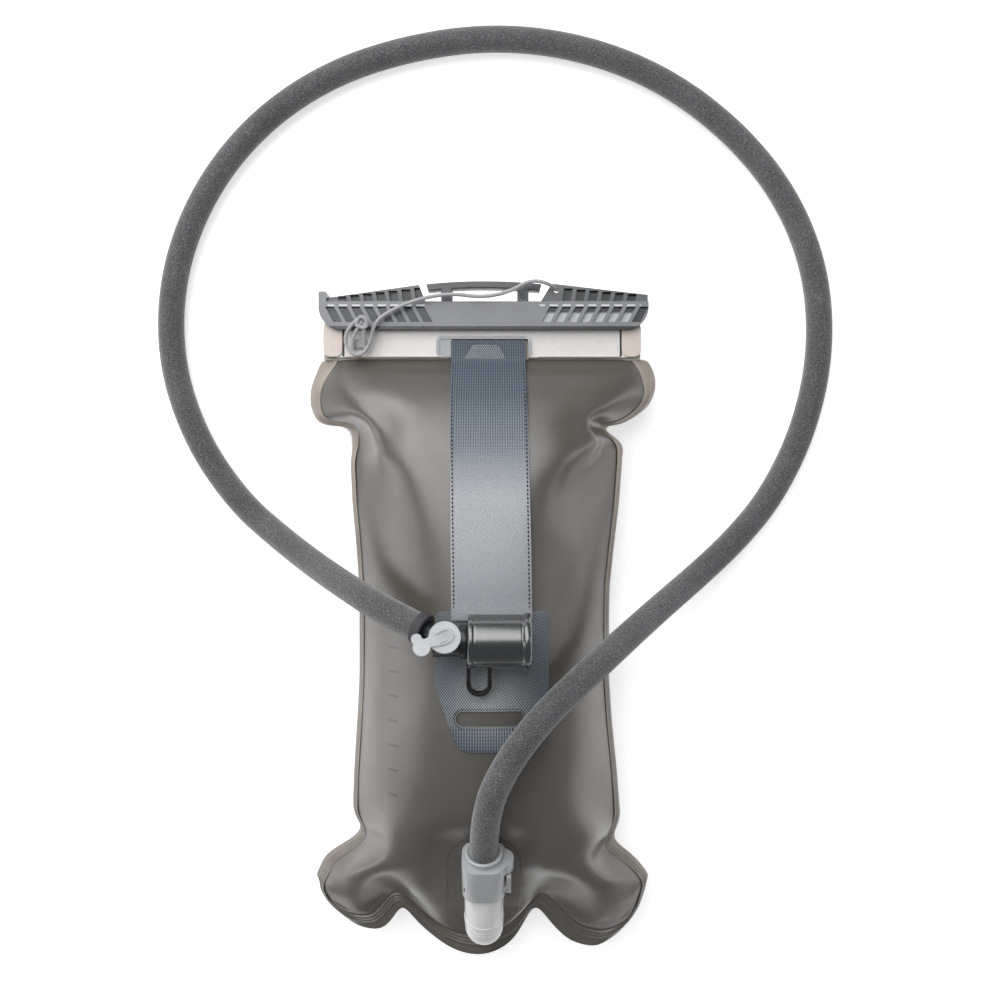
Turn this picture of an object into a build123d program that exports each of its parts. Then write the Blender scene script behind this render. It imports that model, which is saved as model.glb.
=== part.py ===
from build123d import *
import math
import os

# Hydration bladder with a slide-lock top, a carrying strap, an insulated hose and a covered bite valve.
# The bladder lies on its back: +X across it, +Y towards the closure, +Z out of its front panel.
# The origin is under the bladder's middle, on the surface that it lies on. Lengths are millimetres.

# ---- bladder film -------------------------------------------------------------------------------
SEAM_Z = 30.0          # height of the welded seam above the surface
FILM = 0.8             # film thickness
WELD_EDGE = 4.0        # welded edge outside the filled body
REST_CUT = 0.0         # the back panel is flat at this height
# along the bladder: place, half width, rise of the front panel, depth of the back panel
STATIONS = [
    (140, 86.0, 1.4, 1.4),
    (122, 80.0, 11.0, 10.0),
    (104, 71.0, 25.0, 20.0),
    (80, 69.0, 36.0, 29.0),
    (45, 67.5, 42.5, 32.5),
    (0, 65.5, 45.0, 33.0),
    (-50, 66.5, 44.0, 33.0),
    (-90, 70.0, 38.0, 31.5),
    (-120, 73.0, 25.5, 24.0),
    (-148, 78.0, 9.5, 9.0),
    (-168, 80.0, 1.4, 1.4),
]
MOUTH_HALF = 85.0      # half width of the flat mouth
EAR_HALF = 92.5        # half width at the ears under the mouth
FOOT_HALF = 87.0       # half width at the foot

# ---- fold and slide closure ---------------------------------------------------------------------
FOLD_Y = 164.0         # axis of the rod inside the fold
FOLD_Z = 30.2
ROD_R = 2.3
BEAD_R = 4.0           # outside of the fold round the rod
BAND_LOW = 141.0       # lower edge of the folded band
BAND_Z = 31.2          # back face of the band
BAND_T = 1.6
SLIDE_CLEAR = 0.35
SLIDER_LEFT, SLIDER_RIGHT = -87.5, 89.2
SLIDER_LOW, SLIDER_TOP = 155.5, 170.5
SLIDER_BACK, SLIDER_FRONT = 23.0, 37.4
SLIDER_CORNER = 12.0
WING_BACK, WING_FRONT = 25.5, 34.0
LEFT_WING = [(-87.5, 168), (-87.5, 172.4), (-34, 179.9), (-30, 170), (-30, 168)]
RIGHT_WING = [(31, 168), (31, 170), (37.5, 180.6), (89.2, 174.6), (89.2, 168)]
POCKETS = 8            # ribs and pockets on each half of the slider
POCKET_PITCH = 6.9
POCKET_W = 4.7
POCKET_LOW, POCKET_HIGH = 159.4, 167.6
POCKET_LEAN = 4.4      # sideways shift from a pocket's foot to its head
POCKET_DEPTH = 1.8
WING_DEPTH = 2.8
WING_POCKET_LOW = 171.3
LEFT_RISE, LEFT_TOP = 0.75, 173.0             # heads of the wings' pockets: step and start
RIGHT_DROP, RIGHT_TOP = 0.6, 178.6
TETHER_HOLE_R = 1.4
LEFT_POCKET_X, RIGHT_POCKET_X = -79.5, 31.8   # foot of the first pocket on each half
LIP_T, LIP_H, LIP_ROUND = 4.2, 175.8, 0.9     # lip at the slider's closed end

# ---- hang bar -----------------------------------------------------------------------------------
BAR_LEFT, BAR_RIGHT = -29.0, 31.0
BAR_END_Y, BAR_MID_Y, BAR_T = 176.6, 178.2, 3.6
BAR_BACK, BAR_FRONT = 26.0, 35.0
POST_X = (-19.0, 22.0)
POST_W = 6.0
LUG_W, LUG_REACH = 3.0, 5.0
LUG_BACK, LUG_FRONT = 28.5, 32.5
LUG_GAP = 0.05
HANG_PIN_R = 0.9
HANG_PIN_Y = 173.6

# ---- strap --------------------------------------------------------------------------------------
STRAP_X, STRAP_W = 4.3, 40.0
STRAP_LOW = 6.0
STRAP_FROM, STRAP_TO = 1.5, 2.9               # offsets of its two faces from the front panel
TONGUE_LOW, TONGUE_Z, TONGUE_T = 138.6, 32.9, 1.2   # flat end of the strap inside the window
WINDOW_LEFT, WINDOW_RIGHT, WINDOW_LOW, WINDOW_HIGH = -23.2, 24.9, 143.0, 150.8
BAND_OPEN_LEFT = -16.3                        # the band is open from here to the window's right side
RIM_W, RIM_Z, RIM_T, PLATE_T = 1.6, 32.8, 1.4, 0.8
PATCH_X = 5.5
PATCH_OUTLINE = [
    (-28, 8), (28, 8), (28.5, -30), (22, -48), (16.5, -60.5), (12, -62), (-12, -62), (-16.5, -60.5),
    (-22, -48), (-28.5, -30),
]
PATCH_TO = 1.4
SLOT_X, SLOT_Y, SLOT_W, SLOT_H = 4.5, -45.3, 34.0, 7.6

# ---- outlet and quick disconnect, in a frame whose +Y runs up the slope of the front panel -------
PORT_PLACE = Location((1.3, -144.7, 43.5), (28.0, 0, 0))
AXIS_H = 12.0                                 # hose axis above the film
PATCH_HALF, ARCH_LOW, ARCH_HIGH = 19.5, -20.0, 27.0
PORT_R, PORT_LOW, PORT_HIGH = 10.0, -18.5, 20.0
SOCKET_R, BORE_R, SOCKET_LOW = 6.1, 4.0, 8.0
SEAT_R, SEAT_T = 3.0, 1.1                     # lip that the plunger seals on
FLANGE_HALF, FLANGE_LONG, FLANGE_ROUND, FLANGE_T = 9.8, 36.0, 9.0, 1.6
DRAIN_Y, DRAIN_WALL = -9.0, 1.5
FILM_GAP = 0.05
COLLAR_W, COLLAR_H, COLLAR_ROUND = 22.0, 22.6, 7.5
COLLAR_LOW, COLLAR_HIGH, LIP_RING = 20.0, 43.0, 3.0
LIP_RING_R, COLLAR_FLOOR = 8.9, 29.0
LOBE_X, LOBE_R, LOBE_LOW = 8.9, 6.2, 33.6
LATCH_LOW, LATCH_T, LATCH_TRAVEL = 24.0, 2.5, 1.6
LATCH_HALF, LATCH_LEFT, LATCH_ROOM_LEFT = 8.0, -6.4, -10.0
PAD_IN, PAD_OUT, PAD_HALF, PAD_LOW, PAD_HIGH, PAD_ROUND = 11.4, 13.8, 6.5, 21.0, 33.0, 1.8
RUN = 0.3                                     # clearance round a sliding piece
PLUG_NOSE, PLUG_END, PLUG_R, PLUG_BORE = 9.5, 44.0, 6.0, 1.9
NECK_OF_PLUG, PLUG_STOP = 23.6, 26.9             # latch groove between these
RING_Y, RING_WIRE = 13.0, 0.55
STEM_OF_PLUNGER = 1.2

# ---- hose ---------------------------------------------------------------------------------------
SLEEVE_R, SLEEVE_BORE = 7.2, 4.8
TUBE_R, TUBE_BORE = 4.75, 3.2
TUBE_IN_COLLAR, SLEEVE_IN_COLLAR = 31.0, 36.5  # where they start along the outlet's axis
HOSE_LEAD = 69.0                              # the hose is straight towards this point of that axis
HOSE_ROUTE = [
    (13, -64, 88), (31, -41.5, 85), (52, -24, 75), (73, -9, 56), (96, 6.5, 34),
    (120, 23, 16), (143, 42.5, 7.4), (163, 67, 7.3), (181, 104, 7.3), (190.5, 148, 7.3),
    (187.5, 194, 7.3), (170.5, 236, 7.3), (141.5, 271.5, 7.3), (103, 300.5, 7.3), (58, 318.5, 7.3),
    (9, 325, 7.3), (-40, 319, 7.3), (-87, 303.5, 7.3), (-127, 276, 7.3), (-157, 238, 7.3),
    (-174.5, 192, 7.3), (-176, 143, 7.3), (-161.5, 98.5, 7.3), (-137, 63, 7.4), (-111, 43, 19.5),
    (-89, 29.5, 38.5), (-68.5, 19, 59), (-50, 10.3, 77.4),
]
HOSE_END = (-27.8, 0.7, 87.0)

# ---- shut-off and bite valve, in a frame whose +X runs along the valve ---------------------------
VALVE_PLACE = Location((-17.0, -4.3, 90.8), (-18.0, 0, 0))
BARREL_R, BARREL_LOW, BARREL_HIGH = 7.4, -6.0, 7.0
WAY_R = 2.6                                   # water way through the valve
NECK_R, NECK_HIGH = 8.4, 10.6
SPOUT_R, SPOUT_HIGH = 5.0, 20.0
BARB_R, BARB_LENGTH, BARB_BASE = 3.15, 12.0, 0.6
STEM_R, STEM_LOW = 3.4, -5.0
RING_R = 0.7
STEM_RINGS = (-3.9, 4.6)                      # heights of the stem's two seals
DISC_R, DISC_LOW, DISC_T = 7.7, 8.6, 2.4
ARM_ANGLE, ARM_LENGTH, ARM_W, ARM_RISE = 201.0, 13.3, 4.2, 0.8
KNOBS, KNOB_H, KNOB_RISE = [(11.9, 0.9, 4.1), (12.8, -3.6, 2.6)], 4.2, 1.9   # place on the arm and radius
COVER_LOW, COVER_HIGH, COVER_R, COVER_WALL = 11.0, 41.7, 13.2, 1.6
COVER_ROUND, COVER_RIM, COVER_RIM_LOW, COVER_RIM_HIGH = 1.6, 0.7, 39.1, 40.9
BITE_R, BITE_HIGH, BITE_WAIST, WAIST_X = 8.0, 37.5, 6.8, 23.0
LIPS_W, LIPS_H, SLIT_R = 9.0, 4.5, 1.6
LOOP_X, LOOP_T, LOOP_DROOP = 16.2, 3.0, 38.0   # place, thickness and turn about the cover's axis
LOOP_HALF, LOOP_WIRE, LOOP_LOW, LOOP_ROOT = 6.2, 2.0, -30.0, -4.0

# ---- tether -------------------------------------------------------------------------------------
TETHER_R = 1.0
TETHER_HOLE = (40.0, 177.0)
TETHER_ROUTE = [
    (40, 177, 34.5), (37, 178.8, 42), (26, 181, 43.5), (15, 174.6, 42.5), (0, 171.6, 42), (-16, 173.8, 42.5),
    (-32, 171.4, 42), (-47, 165.6, 42), (-57.5, 158.5, 41.5), (-59.5, 147, 38.5), (-66, 140, 38.2),
    (-73.5, 146.5, 38.4), (-71.5, 156.5, 40.5), (-64, 161, 43.5),
]
EYE_X, EYE_Y, EYE_T = -66.0, 148.0, 1.2
EYE_BASE, EYE_TOP = (9.0, 5.5, 2.0), (5.5, 4.0, 1.5)   # width, length and corner radius


def slab(points, z_low, z_high):
    """A flat plate with the outline given in the XY plane."""
    outline = make_face(Polyline(*points, close=True))
    return Pos(0, 0, z_low) * extrude(outline, z_high - z_low)


def brick(x, y, z):
    """A box between the two limits given on each axis."""
    size = (x[1] - x[0], y[1] - y[0], z[1] - z[0])
    return Pos(sum(x) / 2, sum(y) / 2, sum(z) / 2) * Box(*size)


def rod_y(radius, low, high, x=0.0, z=0.0):
    """A cylinder along Y."""
    return Pos(x, (low + high) / 2, z) * Rot(90, 0, 0) * Cylinder(radius, high - low)


def rod_x(radius, low, high, y=0.0, z=0.0):
    """A cylinder along X."""
    return Pos((low + high) / 2, y, z) * Rot(0, 90, 0) * Cylinder(radius, high - low)


def rod_z(radius, low, high, x=0.0, y=0.0):
    """A cylinder along Z."""
    return Pos(x, y, (low + high) / 2) * Cylinder(radius, high - low)


# ---- film ---------------------------------------------------------------------------------------
def body_half(side, grow=0.0, trim=0.0):
    """The filled body on one side of the seam (+1 front, -1 back), larger by grow."""
    sections = []
    for y, half_width, rise, depth in STATIONS:
        height = rise if side > 0 else depth
        end = y == STATIONS[0][0] or y == STATIONS[-1][0]
        place = y - math.copysign(trim, y) if end else y
        plane = Plane(origin=(0, place, SEAM_Z), x_dir=(1, 0, 0), z_dir=(0, -1, 0))
        arc = EllipticalCenterArc((0, 0), half_width + grow, height + grow, 0, arc_size=side * 180)
        sections.append(plane * make_face(arc + Line(arc @ 1, arc @ 0)))
    return loft(sections)


def edge_outline():
    """The outline of the film laid flat: mouth, ears, sides and the three lobes of the foot."""
    ears = Polyline(
        (-EAR_HALF, 108), (-EAR_HALF, 128), (-MOUTH_HALF, 142), (-MOUTH_HALF, FOLD_Y - ROD_R - 0.3),
        (MOUTH_HALF, FOLD_Y - ROD_R - 0.3), (MOUTH_HALF, 142), (EAR_HALF, 128), (EAR_HALF, 108),
    )
    right = Spline((EAR_HALF, 108), (74.5, 92), (65.5 + WELD_EDGE, 0), (75, -118), (FOOT_HALF, -140))
    foot_right = ThreePointArc((FOOT_HALF, -140), (58, -173), (32, -161))
    foot_middle = ThreePointArc((32, -161), (-1, -182), (-40, -156))
    foot_left = ThreePointArc((-40, -156), (-64, -165), (-FOOT_HALF, -140))
    left = Spline((-FOOT_HALF, -140), (-75, -118), (-65.5 - WELD_EDGE, 0), (-74.5, 92), (-EAR_HALF, 108))
    return make_face(Wire([*ears.edges(), right, foot_right, foot_middle, foot_left, left]))


def film_panel(side):
    """One film panel: half of the filled body, with its half of the welded edge."""
    body = body_half(side)
    inside = body_half(side, grow=-FILM, trim=FILM)
    edge = Pos(0, 0, SEAM_Z if side > 0 else SEAM_Z - FILM) * extrude(edge_outline(), FILM)
    if side < 0:
        above = brick((-120, 120), (-200, 200), (REST_CUT, 60))
        body = body & above
        inside = inside & brick((-120, 120), (-200, 200), (REST_CUT + FILM, 60))
    drain = PORT_PLACE * rod_z(BORE_R + DRAIN_WALL + FILM_GAP, -10, 6, 0, DRAIN_Y)
    return (body + edge) - inside - drain if side > 0 else (body + edge) - inside


def front_skin(start, stop, outline):
    """A sheet that follows the front panel between two offsets, inside the outline."""
    prism = Pos(0, 0, SEAM_Z) * extrude(make_face(outline), 60)
    return (body_half(1, grow=stop) - body_half(1, grow=start)) & prism


# ---- fold ---------------------------------------------------------------------------------------
def fold_band():
    length = 2 * MOUTH_HALF
    bead = rod_x(BEAD_R, -MOUTH_HALF, MOUTH_HALF, FOLD_Y, FOLD_Z)
    bead -= rod_x(ROD_R + 0.05, -MOUTH_HALF, MOUTH_HALF, FOLD_Y, FOLD_Z)
    bead -= brick((-MOUTH_HALF, MOUTH_HALF), (FOLD_Y - BEAD_R - 1, FOLD_Y), (SEAM_Z - 1.1, SEAM_Z + 1.1))
    flap = Pos(0, (BAND_LOW + FOLD_Y - ROD_R) / 2, BAND_Z + BAND_T / 2) * Box(
        length, FOLD_Y - ROD_R - BAND_LOW, BAND_T
    )
    corners = flap.edges().filter_by(Axis.Z).sort_by(Axis.Y)[:2]
    flap = fillet(corners, 8)
    window = brick((BAND_OPEN_LEFT, WINDOW_RIGHT), (BAND_LOW - 1, WINDOW_HIGH), (BAND_Z - 1, RIM_Z + 1))
    rod_room = rod_x(ROD_R + 0.05, -MOUTH_HALF, MOUTH_HALF, FOLD_Y, FOLD_Z)
    return (bead + flap) - window - rod_room


def strap_window_rim():
    """Frame round the window, open towards the bladder, with a plate beside the strap."""
    centre = Pos((WINDOW_LEFT + WINDOW_RIGHT) / 2, (WINDOW_LOW + WINDOW_HIGH) / 2, RIM_Z)
    width, length = WINDOW_RIGHT - WINDOW_LEFT, WINDOW_HIGH - WINDOW_LOW
    outer = RectangleRounded(width + 2 * RIM_W, length + 2 * RIM_W, RIM_W + 1)
    ring = centre * extrude(outer - RectangleRounded(width, length, 1), RIM_T)
    open_y = (WINDOW_LOW - 2 * RIM_W, WINDOW_LOW + 1)
    ring -= brick((WINDOW_LEFT, WINDOW_RIGHT), open_y, (RIM_Z, RIM_Z + RIM_T))
    plate_x = (WINDOW_LEFT - RIM_W / 2, BAND_OPEN_LEFT)
    return ring + brick(plate_x, (WINDOW_LOW - RIM_W, WINDOW_HIGH + RIM_W / 2), (RIM_Z, RIM_Z + PLATE_T))


# ---- slide closure ------------------------------------------------------------------------------
def pocket(x_foot, lean, low, high, depth_from, depth_to):
    x_head = x_foot + lean
    points = [(x_foot, low), (x_foot + POCKET_W, low), (x_head + POCKET_W, high), (x_head, high)]
    return slab(points, depth_from, depth_to)


def slider_pockets():
    """The leaning pockets of both halves, as one cutter."""
    cutters = []
    for i in range(POCKETS):
        left, right = LEFT_POCKET_X + i * POCKET_PITCH, RIGHT_POCKET_X + i * POCKET_PITCH
        front = (SLIDER_FRONT - POCKET_DEPTH, SLIDER_FRONT + 1)
        wing = (WING_FRONT - WING_DEPTH, WING_FRONT + 1)
        cutters.append(pocket(left, -POCKET_LEAN, POCKET_LOW, POCKET_HIGH, *front))
        cutters.append(pocket(right, POCKET_LEAN, POCKET_LOW, POCKET_HIGH, *front))
        if i > 0:
            cutters.append(pocket(left - POCKET_LEAN, -1, WING_POCKET_LOW, LEFT_TOP + LEFT_RISE * i, *wing))
        if 0 < i < POCKETS - 1:
            cutters.append(pocket(right + POCKET_LEAN, 1, WING_POCKET_LOW, RIGHT_TOP - RIGHT_DROP * i, *wing))
    return cutters


def slide_closure():
    width = SLIDER_RIGHT - SLIDER_LEFT
    channel = brick((SLIDER_LEFT, SLIDER_RIGHT), (SLIDER_LOW, SLIDER_TOP), (SLIDER_BACK, SLIDER_FRONT))
    channel = fillet(channel.edges().filter_by(Axis.Z).sort_by(Axis.Y)[:2], SLIDER_CORNER)
    wings = slab(LEFT_WING, WING_BACK, WING_FRONT) + slab(RIGHT_WING, WING_BACK, WING_FRONT)
    lip = brick((SLIDER_LEFT, SLIDER_LEFT + LIP_T), (166, LIP_H), (SLIDER_BACK, SLIDER_FRONT))
    lip = fillet(lip.edges().filter_by(Axis.Z).sort_by(Axis.Y)[2:], LIP_ROUND)
    part = channel + wings + lip
    start = -MOUTH_HALF - SLIDE_CLEAR
    room = BEAD_R + SLIDE_CLEAR
    part -= rod_x(room, start, SLIDER_RIGHT + 1, FOLD_Y, FOLD_Z)
    part -= brick(
        (start, SLIDER_RIGHT + 1), (SLIDER_LOW - 1, FOLD_Y),
        (SEAM_Z - FILM - SLIDE_CLEAR, BAND_Z + BAND_T + SLIDE_CLEAR),
    )
    part -= slider_pockets()
    part -= rod_z(TETHER_HOLE_R, WING_BACK - 1, SLIDER_FRONT + 1, *TETHER_HOLE)
    for x in POST_X:
        lug_y = (SLIDER_TOP - 0.5, SLIDER_TOP + LUG_REACH)
        part += brick((x - LUG_W / 2, x + LUG_W / 2), lug_y, (LUG_BACK, LUG_FRONT))
        part -= rod_z(HANG_PIN_R + LUG_GAP, BAR_BACK - 1, BAR_FRONT + 1, x, HANG_PIN_Y)
    return part


def hang_bar():
    """The arched bar on its two posts; each post straddles a lug of the slider."""
    middle = (BAR_LEFT + BAR_RIGHT) / 2
    low = ThreePointArc((BAR_LEFT, BAR_END_Y), (middle, BAR_MID_Y), (BAR_RIGHT, BAR_END_Y))
    high_y = BAR_END_Y + BAR_T
    high = ThreePointArc((BAR_LEFT - 1, high_y), (middle, BAR_MID_Y + BAR_T), (BAR_RIGHT + 1, high_y))
    outline = make_face(Wire([low, Line(low @ 1, high @ 1), high, Line(high @ 0, low @ 0)]))
    bar = Pos(0, 0, BAR_BACK) * extrude(outline, BAR_FRONT - BAR_BACK)
    for x in POST_X:
        bar += brick((x - POST_W / 2, x + POST_W / 2), (SLIDER_TOP, BAR_MID_Y + 1), (BAR_BACK, BAR_FRONT))
    for x in POST_X:
        room_x = (x - LUG_W / 2 - LUG_GAP, x + LUG_W / 2 + LUG_GAP)
        room_y = (SLIDER_TOP - 1, SLIDER_TOP + LUG_REACH + 2 * LUG_GAP)
        bar -= brick(room_x, room_y, (LUG_BACK - 2 * LUG_GAP, LUG_FRONT + 2 * LUG_GAP))
        bar -= rod_z(HANG_PIN_R + LUG_GAP, BAR_BACK - 1, BAR_FRONT + 1, x, HANG_PIN_Y)
    return bar


def hang_bar_pins():
    pins = [rod_z(HANG_PIN_R, BAR_BACK - 0.2, BAR_FRONT + 0.3, x, HANG_PIN_Y) for x in POST_X]
    return Compound(children=pins)


# ---- cords --------------------------------------------------------------------------------------
def cord_path(name, points):
    """Straight runs joined by arcs that are as large as the two runs beside each point allow."""
    points = [Vector(p) for p in points]
    radii = []
    for before, here, after in zip(points, points[1:], points[2:]):
        first, second = here - before, after - here
        half_turn = math.radians(first.get_angle(second)) / 2
        radii.append(0.45 * min(first.length, second.length) / math.tan(half_turn))
    path = FilletPolyline(*points, radius=radii)
    print(f"{name}: length {path.length:.1f}, smallest radius {min(radii):.1f}")
    return path


def tube_along(path, outer, inner=0.0):
    start = Plane(origin=path @ 0, z_dir=path % 0)
    section = Circle(outer) - Circle(inner) if inner else Circle(outer)
    tube = sweep(start * section, path=path)
    ideal = math.pi * (outer**2 - inner**2) * path.length
    print(f"  volume over section times length {tube.volume / ideal:.4f}")
    return tube


def outlet_point(along):
    """A point on the outlet's axis."""
    return (PORT_PLACE * Location((0, along, AXIS_H))).position


# ---- outlet -------------------------------------------------------------------------------------
def port_patch():
    arch = Pos(0, ARCH_HIGH) * Circle(PATCH_HALF)
    straight = Pos(0, (ARCH_LOW + ARCH_HIGH) / 2) * Rectangle(2 * PATCH_HALF, ARCH_HIGH - ARCH_LOW)
    hole = Pos(0, DRAIN_Y) * Circle(BORE_R + DRAIN_WALL + FILM_GAP)
    return extrude(arch + straight - hole, FILM)


def port_body():
    """Clear elbow: a barrel with a rounded foot, on a flange, with a drain hole through the film."""
    barrel = rod_y(PORT_R, PORT_LOW + PORT_R, PORT_HIGH, z=AXIS_H)
    nose = Pos(0, PORT_LOW + PORT_R, AXIS_H) * Sphere(PORT_R)
    flange = Pos(0, 0, FILM) * extrude(RectangleRounded(2 * FLANGE_HALF, FLANGE_LONG, FLANGE_ROUND), FLANGE_T)
    web = brick((-6, 6), (-14, 16), (FILM, AXIS_H))
    stub = rod_z(BORE_R + DRAIN_WALL, -4, AXIS_H, 0, DRAIN_Y)
    part = barrel + nose + flange + web + stub
    part -= rod_z(BORE_R, -5, AXIS_H, 0, DRAIN_Y)
    part -= rod_y(BORE_R, DRAIN_Y, SOCKET_LOW - SEAT_T, z=AXIS_H)
    part -= rod_y(SEAT_R, DRAIN_Y, SOCKET_LOW, z=AXIS_H)
    part -= Pos(0, DRAIN_Y, AXIS_H) * Sphere(BORE_R)
    return part - rod_y(SOCKET_R, SOCKET_LOW, PORT_HIGH + 1, z=AXIS_H)


def port_poppet():
    """Plunger: a guide stem, the sealing head and the pad that the plug pushes."""
    stem = rod_y(STEM_OF_PLUNGER, -2, PLUG_NOSE - 0.8, z=AXIS_H)
    head = rod_y(BORE_R - 0.4, 3.8, 5.8, z=AXIS_H)
    pad = rod_y(SEAT_R - 0.4, PLUG_NOSE - 0.9, PLUG_NOSE - 0.05, z=AXIS_H)
    return stem + head + pad


def coil(radius, wire, low, high, turns):
    """A compression spring along Y."""
    path = Helix(pitch=(high - low) / turns, height=high - low, radius=radius)
    section = Plane(origin=path @ 0, z_dir=path % 0) * Circle(wire)
    return Pos(0, high, AXIS_H) * Rot(90, 0, 0) * sweep(section, path=path, is_frenet=True)


def port_o_ring():
    return Pos(0, RING_Y, AXIS_H) * Rot(90, 0, 0) * Torus(PLUG_R - RING_WIRE, RING_WIRE)


def connector_body():
    """Quick-disconnect collar with flat sides, a thumb lobe and a slot for the latch."""
    section = RectangleRounded(COLLAR_W, COLLAR_H, COLLAR_ROUND)
    top = COLLAR_HIGH - LIP_RING
    part = Pos(0, top, AXIS_H) * Rot(90, 0, 0) * extrude(section, top - COLLAR_LOW)
    part += rod_y(LIP_RING_R, top, COLLAR_HIGH, z=AXIS_H)
    part += rod_y(LOBE_R, LOBE_LOW, top, LOBE_X, AXIS_H)
    part -= brick((-20, 20), (COLLAR_LOW - 1, COLLAR_HIGH + 1), (-5, FILM + FLANGE_T + 0.2))
    part -= rod_y(PLUG_R + 0.6, COLLAR_LOW - 1, COLLAR_FLOOR + 1, z=AXIS_H)
    part -= rod_y(SLEEVE_R + 0.1, COLLAR_FLOOR, COLLAR_HIGH + 1, z=AXIS_H)
    latch_room = (LATCH_LOW - RUN, LATCH_LOW + LATCH_T + RUN)
    part -= brick((LATCH_ROOM_LEFT, 20), latch_room, (AXIS_H - LATCH_HALF - RUN, AXIS_H + LATCH_HALF + RUN))
    pad_height = (AXIS_H - PAD_HALF - RUN, AXIS_H + PAD_HALF + RUN)
    return part - brick((PAD_IN - LATCH_TRAVEL - RUN, 20), (PAD_LOW - RUN, PAD_HIGH + RUN), pad_height)


def release_button():
    """Latch plate with a keyhole that locks the plug, and a thumb pad outside the collar."""
    depth = (LATCH_LOW, LATCH_LOW + LATCH_T)
    plate = brick((LATCH_LEFT, PAD_IN), depth, (AXIS_H - LATCH_HALF, AXIS_H + LATCH_HALF))
    plate -= rod_y(PLUG_R + RUN, LATCH_LOW - 1, LATCH_LOW + LATCH_T + 1, LATCH_TRAVEL, AXIS_H)
    height = (AXIS_H - PAD_HALF, AXIS_H + PAD_HALF)
    pad = brick((PAD_IN, PAD_OUT), (PAD_LOW, PAD_HIGH), height)
    pad = fillet(pad.edges().filter_by(Axis.X), PAD_ROUND)
    return plate + pad


def release_spring():
    spring = coil(1.1, 0.2, 0, LATCH_LEFT - LATCH_ROOM_LEFT - 0.45, 3)
    place = Pos(LATCH_ROOM_LEFT + 0.22, LATCH_LOW + LATCH_T / 2, AXIS_H)
    return place * Rot(0, 0, -90) * Pos(0, 0, -AXIS_H) * spring


def tube_plug():
    """Barbed plug: nose with the seal's groove, latch groove, stop flange and barb."""
    groove = rod_y(PLUG_R - PLUG_BORE, NECK_OF_PLUG - 0.6, PLUG_STOP + 0.3, z=AXIS_H)
    part = rod_y(PLUG_R, PLUG_NOSE, NECK_OF_PLUG, z=AXIS_H) + groove
    part += rod_y(PLUG_R, PLUG_STOP, COLLAR_FLOOR, z=AXIS_H) + rod_y(BARB_R, COLLAR_FLOOR, PLUG_END, z=AXIS_H)
    part -= Pos(0, RING_Y, AXIS_H) * Rot(90, 0, 0) * Torus(PLUG_R - RING_WIRE, RING_WIRE + 0.05)
    return part - rod_y(PLUG_BORE, PLUG_NOSE - 1, PLUG_END + 1, z=AXIS_H)


# ---- shut-off and bite valve --------------------------------------------------------------------
def hose_direction():
    return (Vector(HOSE_END) - Vector(HOSE_ROUTE[-1])).normalized()


def valve_frame(vector):
    """A direction of the part's frame, seen in the valve's own frame."""
    turn = math.radians(VALVE_PLACE.orientation.X)
    y = vector.Y * math.cos(turn) + vector.Z * math.sin(turn)
    return Vector(vector.X, y, -vector.Y * math.sin(turn) + vector.Z * math.cos(turn))


def valve_body():
    """Barrel with a vertical bore for the lever's stem, a barbed inlet and a spout."""
    inlet = valve_frame(hose_direction())
    end = valve_frame(Vector(HOSE_END) - VALVE_PLACE.position)
    barrel = rod_x(BARREL_R, BARREL_LOW, BARREL_HIGH)
    tower = rod_z(STEM_R + 1.8, -BARREL_R, DISC_LOW - 0.3)
    neck = rod_x(NECK_R, BARREL_HIGH, NECK_HIGH)
    spout = rod_x(SPOUT_R, NECK_HIGH, SPOUT_HIGH)
    reach = end.length
    elbow = Plane(origin=end - inlet * BARB_BASE, z_dir=-inlet) * extrude(Circle(BARB_R), BARB_LENGTH)
    stub = Plane(origin=end, z_dir=inlet) * extrude(Circle(TUBE_R), reach - 3)
    stub += Plane(origin=end, z_dir=-inlet) * extrude(Circle(BARB_R), 1)
    part = barrel + tower + neck + spout + stub + elbow
    part -= rod_z(STEM_R + 0.05, STEM_LOW - 0.1, DISC_LOW + 1)
    part -= rod_x(WAY_R, 0, SPOUT_HIGH + 1)
    part -= Plane(origin=end - inlet * 20, z_dir=inlet) * extrude(Circle(PLUG_BORE), 20 + reach)
    for z in STEM_RINGS:
        part -= Pos(0, 0, z) * Torus(STEM_R, RING_R)
    return part


def shutoff_lever():
    """Quarter-turn lever: a disc on a drilled stem, with an arm that ends in a knob."""
    part = rod_z(STEM_R, STEM_LOW, DISC_LOW + 0.5) - rod_x(WAY_R, -6, 6)
    part += rod_z(DISC_R, DISC_LOW, DISC_LOW + DISC_T)
    arm = Pos(ARM_LENGTH / 2, 0, DISC_LOW + DISC_T / 2 + ARM_RISE) * Box(ARM_LENGTH, ARM_W, DISC_T)
    for x, y, radius in KNOBS:
        arm += Pos(x, y, DISC_LOW + KNOB_RISE) * Cylinder(radius, KNOB_H)
    part += Rot(0, 0, ARM_ANGLE) * arm
    for z in STEM_RINGS:
        part -= Pos(0, 0, z) * Torus(STEM_R, RING_R)
    return part


def valve_o_rings():
    rings = [Pos(0, 0, z) * Torus(STEM_R, RING_R - 0.05) for z in STEM_RINGS]
    return Compound(children=rings)


def bite_valve():
    """Soft mouthpiece: a sleeve on the spout that flattens into lips."""
    root = Plane.YZ.offset(NECK_HIGH + 1.2) * Circle(BITE_R)
    waist = Plane.YZ.offset(WAIST_X) * Circle(BITE_WAIST)
    lips = Plane.YZ.offset(BITE_HIGH) * Ellipse(LIPS_W, LIPS_H)
    part = loft([root, waist, lips])
    part -= rod_x(SPOUT_R + 0.05, NECK_HIGH, SPOUT_HIGH + 0.2)
    return part - rod_x(SLIT_R, SPOUT_HIGH, BITE_HIGH - 3)


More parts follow.
